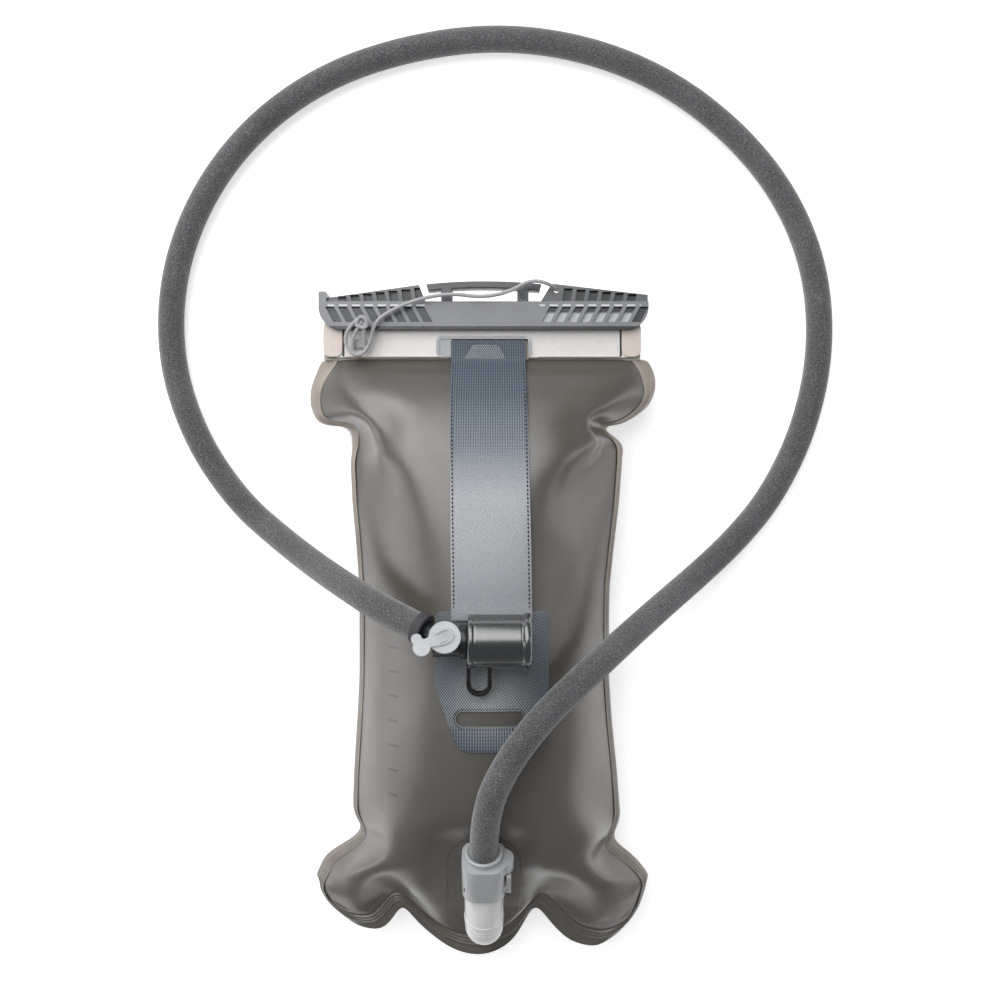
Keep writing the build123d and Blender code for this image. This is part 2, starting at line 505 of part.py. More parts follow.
def dust_cover():
    part = rod_x(COVER_R, COVER_LOW, COVER_HIGH)
    part = fillet(part.edges().sort_by(Axis.X)[:1], COVER_ROUND)
    part += rod_x(COVER_R + COVER_RIM, COVER_RIM_LOW, COVER_RIM_HIGH)
    return part - rod_x(COVER_R - COVER_WALL, COVER_LOW - 1, COVER_HIGH - COVER_WALL)


def cover_pull_loop():
    """A round-ended loop beside the cover, cut to the cover's wall."""
    def outline(half, low):
        legs = Polyline((-half, low + half), (-half, LOOP_ROOT), (half, LOOP_ROOT), (half, low + half))
        return legs + ThreePointArc((half, low + half), (0, low), (-half, low + half))

    outer = make_face(outline(LOOP_HALF, LOOP_LOW))
    inner = make_face(outline(LOOP_HALF - LOOP_WIRE, LOOP_LOW + LOOP_WIRE))
    ring = Rot(LOOP_DROOP, 0, 0) * Pos(LOOP_X, 0, -LOOP_T / 2) * extrude(outer - inner, LOOP_T)
    return ring - rod_x(COVER_R, COVER_LOW - 1, COVER_HIGH + 1)


def sleeve_ferrule():
    """Ring that closes the sleeve on the valve's barb."""
    plane = Plane(origin=HOSE_END, z_dir=-hose_direction())
    ring = plane * extrude(Circle(SLEEVE_R + 1.1) - Circle(SLEEVE_R + 0.02), 4.0)
    face = plane.offset(-1.0) * extrude(Circle(SLEEVE_R + 1.1) - Circle(TUBE_R + 0.05), 1.0)
    return ring + face


# ---- nodes --------------------------------------------------------------------------------------
def strap_outline():
    half = STRAP_W / 2
    return Polyline(
        (STRAP_X - half, STRAP_LOW + PATCH_TO), (STRAP_X + half, STRAP_LOW + PATCH_TO),
        (STRAP_X + half, WINDOW_HIGH - 12), (STRAP_X - half, WINDOW_HIGH - 12), close=True,
    )


def handle_strap():
    """Webbing over the front panel, up to the window, where a flat tongue ends it."""
    half = STRAP_W / 2
    sheet = front_skin(STRAP_FROM, STRAP_TO, strap_outline())
    tongue_y = (TONGUE_LOW, WINDOW_HIGH - 0.3)
    tongue = brick((STRAP_X - half, STRAP_X + half), tongue_y, (TONGUE_Z, TONGUE_Z + TONGUE_T))
    return sheet + tongue


def strap_patch():
    points = [(PATCH_X + x, y) for x, y in PATCH_OUTLINE]
    sheet = front_skin(0.05, PATCH_TO, Polyline(*points, close=True))
    slot = Pos(SLOT_X, SLOT_Y, SEAM_Z) * extrude(SlotOverall(SLOT_W, SLOT_H), 60)
    return sheet - slot


def tether_anchor():
    base = Pos(EYE_X, EYE_Y, RIM_Z) * extrude(RectangleRounded(*EYE_BASE), EYE_T)
    eye = Pos(EYE_X, EYE_Y, RIM_Z + EYE_T) * extrude(RectangleRounded(*EYE_TOP), EYE_T)
    return base + eye


def build():
    lead = outlet_point(HOSE_LEAD)
    hose = cord_path("hose", [outlet_point(TUBE_IN_COLLAR), lead, *HOSE_ROUTE, HOSE_END])
    sleeve = cord_path("sleeve", [outlet_point(SLEEVE_IN_COLLAR), lead, *HOSE_ROUTE, HOSE_END])
    tether = cord_path("tether", TETHER_ROUTE)
    at_port = {
        "port_patch": port_patch(), "port_body": port_body(), "port_poppet": port_poppet(),
        "port_spring": coil(2.7, 0.4, -2.4, 3.3, 4), "port_o_ring": port_o_ring(),
        "connector_body": connector_body(), "release_button": release_button(),
        "release_spring": release_spring(), "tube_plug": tube_plug(),
    }
    at_valve = {
        "valve_body": valve_body(), "shutoff_lever": shutoff_lever(), "valve_o_rings": valve_o_rings(),
        "bite_valve": bite_valve(), "dust_cover": dust_cover(), "cover_pull_loop": cover_pull_loop(),
    }
    nodes = {
        "back_panel": film_panel(-1), "front_panel": film_panel(1), "fold_band": fold_band(),
        "fold_rod": rod_x(ROD_R, -MOUTH_HALF + 0.5, MOUTH_HALF - 0.5, FOLD_Y, FOLD_Z),
        "strap_window_rim": strap_window_rim(), "handle_strap": handle_strap(),
        "strap_patch": strap_patch(), "tether_anchor": tether_anchor(),
        "slide_closure": slide_closure(), "hang_bar": hang_bar(), "hang_bar_pins": hang_bar_pins(),
        "tether_cord": tube_along(tether, TETHER_R),
        "inner_tube": tube_along(hose, TUBE_R, TUBE_BORE),
        "tube_sleeve": tube_along(sleeve, SLEEVE_R, SLEEVE_BORE), "sleeve_ferrule": sleeve_ferrule(),
    }
    nodes.update({name: PORT_PLACE * shape for name, shape in at_port.items()})
    nodes.update({name: VALVE_PLACE * shape for name, shape in at_valve.items()})
    return nodes


os.makedirs("parts", exist_ok=True)
for node, shape in build().items():
    export_step(shape, f"parts/{node}.step")
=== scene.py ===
import bmesh
import bpy
import math
import numpy as np
from mathutils import Matrix, Vector
from mathutils.bvhtree import BVHTree


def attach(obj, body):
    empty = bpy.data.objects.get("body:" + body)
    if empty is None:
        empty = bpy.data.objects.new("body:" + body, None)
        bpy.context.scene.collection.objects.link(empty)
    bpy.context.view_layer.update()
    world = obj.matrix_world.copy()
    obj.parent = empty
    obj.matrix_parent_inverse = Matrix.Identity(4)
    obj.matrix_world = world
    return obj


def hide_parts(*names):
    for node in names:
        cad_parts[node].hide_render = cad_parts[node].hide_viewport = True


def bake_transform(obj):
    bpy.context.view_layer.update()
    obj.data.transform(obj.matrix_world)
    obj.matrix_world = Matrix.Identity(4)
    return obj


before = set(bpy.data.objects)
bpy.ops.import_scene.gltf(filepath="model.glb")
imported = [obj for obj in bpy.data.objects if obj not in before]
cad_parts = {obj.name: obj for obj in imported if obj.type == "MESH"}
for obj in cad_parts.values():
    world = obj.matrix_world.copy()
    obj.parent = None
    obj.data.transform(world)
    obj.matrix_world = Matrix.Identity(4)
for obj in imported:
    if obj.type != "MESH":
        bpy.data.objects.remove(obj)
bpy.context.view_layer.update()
MM = 0.001

# ---- places that the frame shares with the part, in metres ----
SEAM_Z = 0.030
PORT_TILT = math.radians(28)
PORT_X = 0.0013
PORT_PLACE = Matrix.Translation((PORT_X, -0.1447, 0.0435)) @ Matrix.Rotation(PORT_TILT, 4, "X")
VALVE_PLACE = Matrix.Translation((-0.017, -0.0043, 0.0908)) @ Matrix.Rotation(math.radians(-18), 4, "X")
OUTLET_AXIS = 0.012
SLEEVE_R = 0.0072
TETHER_R = 0.001


# ---- helpers ----
def in_outlet(points):
    """Points round the outlet's axis, in the part's frame."""
    return [PORT_PLACE @ Vector((x, y, z + OUTLET_AXIS)) for x, y, z in points]


def in_valve(points):
    """Points in the valve's own frame, in the part's frame."""
    return [VALVE_PLACE @ Vector(p) for p in points]


def new_object(name, data, body=None, material=None, slot=None):
    piece = bpy.data.objects.new(name, data)
    bpy.context.scene.collection.objects.link(piece)
    if material:
        data.materials.append(material)
    if body:
        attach(piece, body)
    return piece


def mesh_object(name, verts, faces, body, material=None, slot=None, smooth=True):
    mesh = bpy.data.meshes.new(name)
    mesh.from_pydata([tuple(v) for v in verts], [], [tuple(f) for f in faces])
    mesh.update()
    mesh.polygons.foreach_set("use_smooth", [smooth] * len(mesh.polygons))
    return new_object(name, mesh, body, material, slot)


def modifier(piece, kind, **settings):
    added = piece.modifiers.new(kind.lower(), kind)
    for key, value in settings.items():
        setattr(added, key, value)
    return added


def final_mesh(piece):
    """The piece's mesh with its modifiers applied, as (vertices, polygons)."""
    shown = piece.evaluated_get(bpy.context.evaluated_depsgraph_get())
    mesh = shown.to_mesh()
    verts = [piece.matrix_world @ v.co for v in mesh.vertices]
    faces = [tuple(p.vertices) for p in mesh.polygons]
    shown.to_mesh_clear()
    return verts, faces


def grid_faces(rows, columns, closed=False):
    """Quads over a grid of rows by columns, closed round the columns or not."""
    faces = []
    for j in range(rows - 1):
        for i in range(columns if closed else columns - 1):
            k = (i + 1) % columns
            a, b = j * columns, (j + 1) * columns
            faces.append((a + i, a + k, b + k, b + i))
    return faces


def spline_curve(name, points, radius=0.0):
    """An open NURBS curve with these control points, in metres."""
    curve = bpy.data.curves.new(name, "CURVE")
    curve.dimensions = "3D"
    curve.resolution_u = 12
    curve.bevel_depth = radius
    curve.bevel_resolution = 8
    curve.use_fill_caps = True
    spline = curve.splines.new("NURBS")
    spline.points.add(len(points) - 1)
    for point, place in zip(spline.points, points):
        point.co = (*place, 1.0)
    spline.order_u = 3
    spline.use_endpoint_u = True
    return curve


def spline_points(points):
    """Points along the NURBS curve that has these control points."""
    curve = spline_curve("route", points)
    holder = bpy.data.objects.new("route", curve)
    mesh = bpy.data.meshes.new_from_object(holder)
    found = [v.co.copy() for v in mesh.vertices]
    bpy.data.objects.remove(holder)
    bpy.data.meshes.remove(mesh)
    bpy.data.curves.remove(curve)
    return found


def tube_mesh(points, radius, sides):
    """Vertices and faces of a round tube with closed ends that follows points."""
    verts = []
    side = Vector((0, 0, 1)).cross(points[1] - points[0]).normalized()
    for j, here in enumerate(points):
        along = (points[min(j + 1, len(points) - 1)] - points[max(j - 1, 0)]).normalized()
        side = (side - along * side.dot(along)).normalized()
        up = along.cross(side)
        size = radius(j / (len(points) - 1)) if callable(radius) else radius
        for i in range(sides):
            angle = 2 * math.pi * i / sides
            verts.append(here + (side * math.cos(angle) + up * math.sin(angle)) * size)
    faces = grid_faces(len(points), sides, closed=True)
    faces.append(tuple(range(sides))[::-1])
    faces.append(tuple(range(len(verts) - sides, len(verts))))
    return verts, faces


def join_parts(parts):
    """One list of vertices and faces from several."""
    verts, faces = [], []
    for more_verts, more_faces in parts:
        first = len(verts)
        verts += list(more_verts)
        faces += [tuple(first + k for k in f) for f in more_faces]
    return verts, faces


# ---- materials ----
class Shader:
    """A Principled material and the few nodes that give it its pattern, in the object's own metres."""

    def __init__(self, name, colour, roughness, **sockets):
        self.material = bpy.data.materials.new(name)
        self.material.use_nodes = True
        self.tree = self.material.node_tree
        self.bsdf = self.tree.nodes["Principled BSDF"]
        self.set("Base Color", (*colour, 1.0))
        self.set("Roughness", roughness)
        for socket, value in sockets.items():
            self.set(socket.replace("_", " "), value)
        self.place = self.node("ShaderNodeTexCoord").outputs["Object"]

    def set(self, socket, value):
        if isinstance(value, bpy.types.NodeSocket):
            self.tree.links.new(value, self.bsdf.inputs[socket])
        else:
            self.bsdf.inputs[socket].default_value = value

    def node(self, kind, output=None, settings=None, **inputs):
        made = self.tree.nodes.new(kind)
        for key, value in (settings or {}).items():
            setattr(made, key, value)
        for key, value in inputs.items():
            name = int(key[1:]) if key[0] == "i" and key[1:].isdigit() else key.replace("_", " ")
            if isinstance(value, bpy.types.NodeSocket):
                self.tree.links.new(value, made.inputs[name])
            else:
                made.inputs[name].default_value = value
        return made if output is None else made.outputs[output]

    def math(self, operation, a, b=0.0, c=0.0):
        return self.node("ShaderNodeMath", 0, {"operation": operation}, i0=a, i1=b, i2=c)

    def times(self, a, b):
        return self.math("MULTIPLY", a, b)

    def axis(self, name):
        return self.node("ShaderNodeSeparateXYZ", name, Vector=self.place)

    def noise(self, per_metre, detail=4.0, roughness=0.55):
        return self.node("ShaderNodeTexNoise", "Fac", Vector=self.place, Scale=per_metre,
                         Detail=detail, Roughness=roughness)

    def ramp(self, fac, *stops):
        """A colour ramp; each stop is a place and a colour or a grey value."""
        made = self.node("ShaderNodeValToRGB", Fac=fac)
        elements = made.color_ramp.elements
        while len(elements) < len(stops):
            elements.new(0.5)
        for element, (place, value) in zip(elements, stops):
            element.position = place
            element.color = (value, value, value, 1.0) if isinstance(value, float) else (*value, 1.0)
        return made.outputs["Color"]

    def mix(self, fac, a, b, blend="MIX"):
        made = self.tree.nodes.new("ShaderNodeMix")
        made.data_type = "RGBA"
        made.blend_type = blend
        sockets = [made.inputs[0], made.inputs[6], made.inputs[7]]
        for socket, value in zip(sockets, (fac, a, b)):
            if isinstance(value, bpy.types.NodeSocket):
                self.tree.links.new(value, socket)
            else:
                socket.default_value = (*value, 1.0) if isinstance(value, tuple) else value
        return made.outputs[2]

    def bump(self, height, distance):
        self.set("Normal", self.node("ShaderNodeBump", "Normal", Height=height, Distance=distance))


def plastic(name, light, dark, roughness, grain=2500.0, depth=0.00002, **sockets):
    """Moulded plastic: fine grain, slight colour drift and handling marks in the gloss."""
    shader = Shader(name, light, roughness, **sockets)
    drift = shader.noise(55.0, 5.0)
    shader.set("Base Color", shader.mix(drift, dark, light))
    marks = shader.noise(170.0, 6.0, 0.7)
    shader.set("Roughness", shader.ramp(marks, (0.3, roughness * 0.82), (0.72, min(1.0, roughness * 1.25))))
    shader.bump(shader.noise(grain, 2.0), depth)
    return shader.material


def clear_plastic(name, tint, roughness, transmission=0.85):
    """Clear moulding with flow marks."""
    shader = Shader(name, tint, roughness, Transmission_Weight=transmission, IOR=1.47)
    flow = shader.noise(90.0, 3.0)
    shader.set("Roughness", shader.ramp(flow, (0.3, roughness * 0.7), (0.7, roughness * 1.4)))
    shader.bump(shader.noise(260.0, 3.0), 0.00012)
    return shader.material


def film_material(name, light, dark, roughness, printed):
    """Satin warm grey film with a faint mottle, a fine grain and, on the body, plain volume ticks."""
    shader = Shader(name, light, roughness, Specular_IOR_Level=0.8, Coat_Weight=0.55, Coat_Roughness=0.30)
    mottle = shader.noise(26.0, 4.0, 0.6)
    colour = shader.mix(mottle, dark, light)
    if printed:
        colour = shader.mix(volume_ticks(shader), colour, (0.022, 0.021, 0.020))
    shader.set("Base Color", colour)
    haze = shader.noise(60.0, 5.0, 0.65)
    shader.set("Roughness", shader.ramp(haze, (0.3, roughness * 0.86), (0.72, roughness * 1.16)))
    grain = shader.noise(1800.0, 2.0)
    sag = shader.noise(45.0, 3.0)
    height = shader.math("MULTIPLY_ADD", sag, 12.0, grain)
    shader.bump(height, 0.000018)
    return shader.material


def band_mask(shader, value, low, high):
    """1 where the value lies between the two limits."""
    above = shader.math("GREATER_THAN", value, low)
    below = shader.math("LESS_THAN", value, high)
    return shader.times(above, below)


def volume_ticks(shader):
    """A plain scale down the left side: a hatched strip with a tick at each step, and no lettering."""
    x, y = shader.axis("X"), shader.axis("Y")
    facing = shader.math("GREATER_THAN", shader.axis("Z"), 0.031)
    step = shader.math("FRACT", shader.times(y, 1 / 0.0125))
    tick = shader.times(shader.math("LESS_THAN", step, 0.1), band_mask(shader, x, -0.0485, -0.0425))
    slope = shader.math("ADD", shader.times(x, 0.8), y)
    hatch = shader.math("LESS_THAN", shader.math("FRACT", shader.times(slope, 1 / 0.0026)), 0.4)
    strip = shader.times(hatch, band_mask(shader, x, -0.0605, -0.0505))
    both = shader.math("MAXIMUM", shader.times(tick, 0.75), shader.times(strip, 0.5))
    length = band_mask(shader, y, -0.098, 0.022)
    return shader.times(shader.times(both, length), facing)


def webbing_material(name, stops, pitch, ribbed, roughness, painted_sheen_spot=None):
    """Woven webbing; each stop is a place along it, the colour of its warp and that of its picks.

    The weave is a field of dots, and above or below the line in ribbed it runs in ribs along the webbing. The
    stops' colours hold a painted sheen along it, and a painted sheen can also lighten it round a given point.
    """
    shader = Shader(name, stops[0][1], roughness, Sheen_Weight=0.15, Sheen_Roughness=0.4)
    x, y = shader.axis("X"), shader.axis("Y")
    rib = shader.math("SINE", shader.times(x, 2 * math.pi / pitch))
    pick = shader.math("SINE", shader.times(y, 2 * math.pi / (pitch * 1.25)))
    dots = shader.math("MULTIPLY_ADD", shader.times(rib, pick), 0.5, 0.5)
    lines = shader.math("MULTIPLY_ADD", rib, 0.34, shader.math("MULTIPLY_ADD", pick, 0.16, 0.5))
    low, high = ribbed
    turn = shader.node("ShaderNodeMapRange", 0, Value=y, From_Min=low, From_Max=high)
    weave = shader.math("ADD", shader.times(lines, turn),
                        shader.times(dots, shader.math("SUBTRACT", 1.0, turn)))
    # painted sheen: the colours of the stops run along the webbing together with its own colour
    first, span = stops[0][0], stops[-1][0] - stops[0][0]
    run = shader.node("ShaderNodeMapRange", 0, Value=y, From_Min=first, From_Max=stops[-1][0])
    warp = shader.ramp(run, *[((place - first) / span, colour) for place, colour, _ in stops])
    picks = shader.ramp(run, *[((place - first) / span, colour) for place, _, colour in stops])
    # painted sheen: warp and picks painted lighter round a given point
    if painted_sheen_spot:
        centre_x, centre_y, reach = painted_sheen_spot
        gap_x, gap_y = shader.math("SUBTRACT", x, centre_x), shader.math("SUBTRACT", y, centre_y)
        away = shader.math("SQRT", shader.math("ADD", shader.times(gap_x, gap_x),
                                               shader.times(gap_y, gap_y)))
        near = shader.node("ShaderNodeMapRange", 0, Value=away, From_Max=reach, To_Min=0.75, To_Max=0.0)
        warp = shader.mix(near, warp, (0.20, 0.21, 0.225))
        picks = shader.mix(near, picks, (0.60, 0.61, 0.62))
    yarn = shader.ramp(weave, (0.30, 0.0), (0.72, 1.0))
    fuzz = shader.ramp(shader.noise(1300.0, 3.0, 0.8), (0.3, 0.84), (0.7, 1.14))
    shader.set("Base Color", shader.mix(1.0, shader.mix(yarn, warp, picks), fuzz, "MULTIPLY"))
    shader.bump(weave, 0.00020)
    return shader.material


def knit_material():
    """Charcoal knitted sleeve with light flecks."""
    shader = Shader("knit_charcoal", (0.08, 0.08, 0.082), 0.88, Sheen_Weight=0.5, Sheen_Roughness=0.45)
    loops = shader.node("ShaderNodeTexVoronoi", "Distance", Vector=shader.place, Scale=1150.0)
    flecks = shader.noise(1500.0, 3.0, 0.85)
    tone = shader.ramp(flecks, (0.34, (0.036, 0.036, 0.038)), (0.52, (0.088, 0.088, 0.090)),
                       (0.68, (0.25, 0.25, 0.25)))
    wear = shader.ramp(shader.noise(38.0, 4.0), (0.3, 0.86), (0.7, 1.12))
    shader.set("Base Color", shader.mix(1.0, tone, wear, "MULTIPLY"))
    height = shader.math("MULTIPLY_ADD", flecks, 0.6, loops)
    shader.bump(height, 0.00028)
    return shader.material


def cord_material():
    """Braided cord: two sets of strands that cross."""
    shader = Shader("braid_grey", (0.42, 0.42, 0.42), 0.75, Sheen_Weight=0.3)
    x, y = shader.axis("X"), shader.axis("Y")
    one = shader.math("SINE", shader.times(shader.math("ADD", x, y), 5200.0))
    other = shader.math("SINE", shader.times(shader.math("SUBTRACT", x, y), 5200.0))
    braid = shader.math("MULTIPLY_ADD", shader.times(one, other), 0.5, 0.5)
    shader.set("Base Color", shader.ramp(braid, (0.1, (0.20, 0.20, 0.205)), (0.8, (0.56, 0.56, 0.57))))
    shader.bump(braid, 0.00012)
    return shader.material


def slider_material():
    """Satin moulding: grey faces, with painted shade on the pocket floors, recesses and lower lip, a painted
    reflection on the right-hand pockets and a broken painted highlight line.
    """
    shader = Shader("slider_grey", (0.05, 0.05, 0.054), 0.32, Specular_IOR_Level=0.6)
    x, y, z = shader.axis("X"), shader.axis("Y"), shader.axis("Z")
    drift = shader.noise(55.0, 5.0)
    face = shader.mix(drift, (0.165, 0.167, 0.180), (0.225, 0.227, 0.242))
    # painted shade: the colour follows the height, so the deep recesses and the pocket floors are painted
    # dark and the wing tops mid grey
    depth = shader.node("ShaderNodeMapRange", 0, Value=z, From_Min=0.030, From_Max=0.038)
    low = shader.ramp(depth, (0.0, (0.012, 0.013, 0.015)), (0.20, (0.018, 0.020, 0.022)),
                      (0.46, (0.085, 0.087, 0.092)), (0.52, (0.11, 0.112, 0.118)),
                      (0.60, (0.024, 0.029, 0.034)), (0.84, (0.030, 0.036, 0.042)),
                      (0.90, (0.16, 0.162, 0.17)))
    # painted reflection: the right-hand pocket floors painted pale towards their lower edge
    painted_lit_pockets = shader.node("ShaderNodeMapRange", 0, Value=y, From_Min=0.1652, From_Max=0.1638)
    painted_lit_pockets = shader.times(painted_lit_pockets, band_mask(shader, x, 0.024, 0.0805))
    painted_lit_pockets = shader.times(painted_lit_pockets, band_mask(shader, z, 0.0345, 0.0371))
    low = shader.mix(painted_lit_pockets, low, (0.46, 0.465, 0.49))
    raised = shader.math("GREATER_THAN", z, 0.0371)
    tone = shader.mix(raised, low, face)
    # painted highlight: a broken bright line along the face just above the pockets, on both sides of the
    # middle
    beside = shader.math("GREATER_THAN", shader.math("ABSOLUTE", shader.math("SUBTRACT", x, 0.0008)), 0.030)
    beside = shader.times(beside, band_mask(shader, x, -0.0826, 0.0850))
    right = shader.math("GREATER_THAN", x, 0.0)
    first = shader.math("MULTIPLY_ADD", right, 0.1196, -0.0834)
    pocket = shader.math("FRACT", shader.math("DIVIDE", shader.math("SUBTRACT", x, first), 0.0069))
    beside = shader.times(beside, shader.math("LESS_THAN", pocket, 0.64))
    painted_highlight_line = shader.times(band_mask(shader, y, 0.1679, 0.1688), shader.times(raised, beside))
    tone = shader.mix(painted_highlight_line, tone, (0.62, 0.62, 0.64))
    # painted shade: the lower lip painted near black
    lip = shader.math("LESS_THAN", y, 0.1572)
    shader.set("Base Color", shader.mix(lip, tone, (0.012, 0.012, 0.014)))
    marks = shader.noise(220.0, 6.0, 0.7)
    shader.set("Roughness", shader.ramp(marks, (0.3, 0.25), (0.72, 0.40)))
    shader.bump(shader.noise(1500.0, 2.0), 0.00003)
    return shader.material


def weld_material():
    """Welded edge: two films together, pale and pinkish at the ears and grey at the foot."""
    shader = Shader("film_weld", (0.3, 0.26, 0.22), 0.34, Specular_IOR_Level=0.6)
    run = shader.node("ShaderNodeMapRange", 0, Value=shader.axis("Y"), From_Min=-0.16, From_Max=0.13)
    tone = shader.ramp(run, (0.0, (0.105, 0.096, 0.083)), (0.09, (0.17, 0.15, 0.13)),
                       (0.4, (0.22, 0.20, 0.18)), (0.85, (0.30, 0.255, 0.215)), (1.0, (0.36, 0.315, 0.27)))
    mottle = shader.ramp(shader.noise(60.0, 4.0), (0.3, 0.86), (0.7, 1.12))
    shader.set("Base Color", shader.mix(1.0, tone, mottle, "MULTIPLY"))
    shader.bump(shader.noise(900.0, 2.0), 0.00003)
    return shader.material


def band_material(name, dark, light):
    """Stiff pale film: smooth, a little milky."""
    shader = Shader(name, light, 0.28, Subsurface_Weight=0.15, Subsurface_Scale=0.001)
    cloud = shader.noise(32.0, 4.0)
    shader.set("Base Color", shader.mix(cloud, dark, light))
    shader.set("Roughness", shader.ramp(shader.noise(120.0, 5.0), (0.3, 0.24), (0.7, 0.36)))
    shader.bump(shader.noise(1200.0, 2.0), 0.00002)
    return shader.material


def floor_material():
    shader = Shader("floor_white", (0.9, 0.9, 0.9), 0.7)
    tone = shader.ramp(shader.noise(1.2, 2.0), (0.3, 0.90), (0.7, 0.915))
    shader.set("Base Color", tone)
    shader.set("Emission Color", (1.0, 1.0, 1.0, 1.0))
    shader.set("Emission Strength", 0.55)
    shader.bump(shader.noise(400.0, 2.0), 0.00002)
    return shader.material


# ---- camera, lights and floor ----
def camera():
    data = bpy.data.cameras.new("camera")
    data.sensor_width = 36.0
    data.lens = 39.25
    data.clip_start, data.clip_end = 0.01, 20.0
    holder = new_object("camera", data)
    holder.location = (0.0075, 0.0663, 0.616)
    bpy.context.scene.camera = holder


def softbox(name, place, target, width, height, power):
    data = bpy.data.lights.new(name, "AREA")
    data.shape = "RECTANGLE"
    data.size, data.size_y, data.energy = width, height, power
    holder = new_object(name, data)
    holder.location = place
    holder.rotation_mode = "QUATERNION"
    holder.rotation_quaternion = (Vector(target) - Vector(place)).to_track_quat("-Z", "Y")


def studio():
    world = bpy.data.worlds.new("studio")
    bpy.context.scene.world = world
    world.use_nodes = True
    background = world.node_tree.nodes["Background"]
    background.inputs["Color"].default_value = (0.96, 0.98, 1.0, 1.0)
    background.inputs["Strength"].default_value = 0.24
    middle = (0.0, 0.0, 0.05)
    softbox("key_softbox", (-0.42, 0.82, 1.08), middle, 1.2, 1.7, 23.0)
    softbox("left_strip", (-1.15, -0.1, 0.22), middle, 0.3, 1.5, 4.0)
    softbox("right_strip", (1.15, 0.1, 0.22), middle, 0.25, 1.4, 2.4)
    bpy.context.scene.view_settings.view_transform = "Standard"


def floor():
    size, low = 3.0, -0.0006
    verts = [(-size, -size, low), (size, -size, low), (size, size, low), (-size, size, low)]
    mesh_object("floor", verts, [(0, 1, 2, 3)], None, floor_material(), smooth=False)


# ---- hose ----
HOSE_ROUTE = [
    (13, -64, 88), (31, -41.5, 85), (52, -24, 75), (73, -9, 56), (96, 6.5, 34),
    (120, 23, 16), (143, 42.5, 7.4), (163, 67, 7.3), (181, 104, 7.3), (190.5, 148, 7.3),
    (187.5, 194, 7.3), (170.5, 236, 7.3), (141.5, 271.5, 7.3), (103, 300.5, 7.3), (58, 318.5, 7.3),
    (9, 325, 7.3), (-40, 319, 7.3), (-87, 303.5, 7.3), (-127, 276, 7.3), (-157, 238, 7.3),
    (-174.5, 192, 7.3), (-176, 143, 7.3), (-161.5, 98.5, 7.3), (-137, 63, 7.4), (-111, 43, 19.5),
    (-89, 29.5, 38.5), (-68.5, 19, 59), (-50, 10.3, 77.4), (-27.8, 0.7, 87.0),
]


def hose(material):
    start, end = in_outlet([(0, 0.0365, 0), (0, 0.069, 0)])
    curve = spline_curve("hose_sleeve", [start, end] + [Vector(p) * MM for p in HOSE_ROUTE], SLEEVE_R)
    piece = new_object("hose_sleeve", curve, "bladder", material, "knit")
    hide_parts("tube_sleeve", "inner_tube")
    return piece, start


# ---- film ----
# the film laid flat: half width along it, and the lower edge's place across it, in millimetres
PATTERN_HALF = [(141, 86), (130, 93), (120, 96), (110, 93), (100, 83), (85, 82), (60, 84), (0, 86),
                (-60, 84), (-100, 83), (-130, 83), (-140, 86), (-150, 91), (-160, 94)]
PATTERN_LOW = [(-94, -167), (-82, -177), (-68, -182), (-58, -178), (-52, -170), (-42, -180), (-20, -194),
               (-4, -198), (15, -194), (27, -182), (34, -173), (43, -181), (58, -190), (74, -187),
               (86, -179), (94, -167)]
PATTERN_STEP = 4.8
SIM_FRAMES = 26
FOOT_START = -160.0                 # rows below this line follow the lower edge
SIDE_SHORTER = 0.05                 # the welded sides are cut shorter than the middle


def along(table, value):
    places = sorted(table)
    return np.interp(value, [p[0] for p in places], [p[1] for p in places])


def film_pattern():
    """Front and back sheets, welded round their edge, as flat as they are cut."""
    columns = int(round(2 * 88 / PATTERN_STEP)) + 1
    upper = np.arange(141.0, FOOT_START, -PATTERN_STEP)
    rows = len(upper) + 7
    verts, sheets = [], []
    for side in (1, -1):
        sheet = np.zeros((rows, columns), int)
        for j in range(rows):
            for i in range(columns):
                edge = i in (0, columns - 1) or j in (0, rows - 1)
                if edge and side < 0:
                    sheet[j, i] = sheets[0][j, i]
                    continue
                u = 2 * i / (columns - 1) - 1
                y = upper[j] if j < len(upper) else FOOT_START
                x = u * along(PATTERN_HALF, y)
                if j >= len(upper):
                    share = (j - len(upper) + 1) / (rows - len(upper))
                    x *= 1 - 0.05 * share**2
                    y = y + (along(PATTERN_LOW, x) - y) * share
                shift = -SIDE_SHORTER * (y + 20)
                shift *= np.clip((141 - y) / 46, 0, 1) if y > 95 else np.clip((y + 186) / 50, 0, 1)
                sheet[j, i] = len(verts)
                verts.append((x, y + shift * u**4, 30 + (0 if edge else 1.5 * side)))
        sheets.append(sheet)
    faces = []
    for side, sheet in zip((1, -1), sheets):
        for j in range(rows - 1):
            for i in range(columns - 1):
                quad = (sheet[j, i], sheet[j, i + 1], sheet[j + 1, i + 1], sheet[j + 1, i])
                faces.append(tuple(int(k) for k in (quad[::-1] if side > 0 else quad)))
    return np.array(verts) * MM, faces, sheets


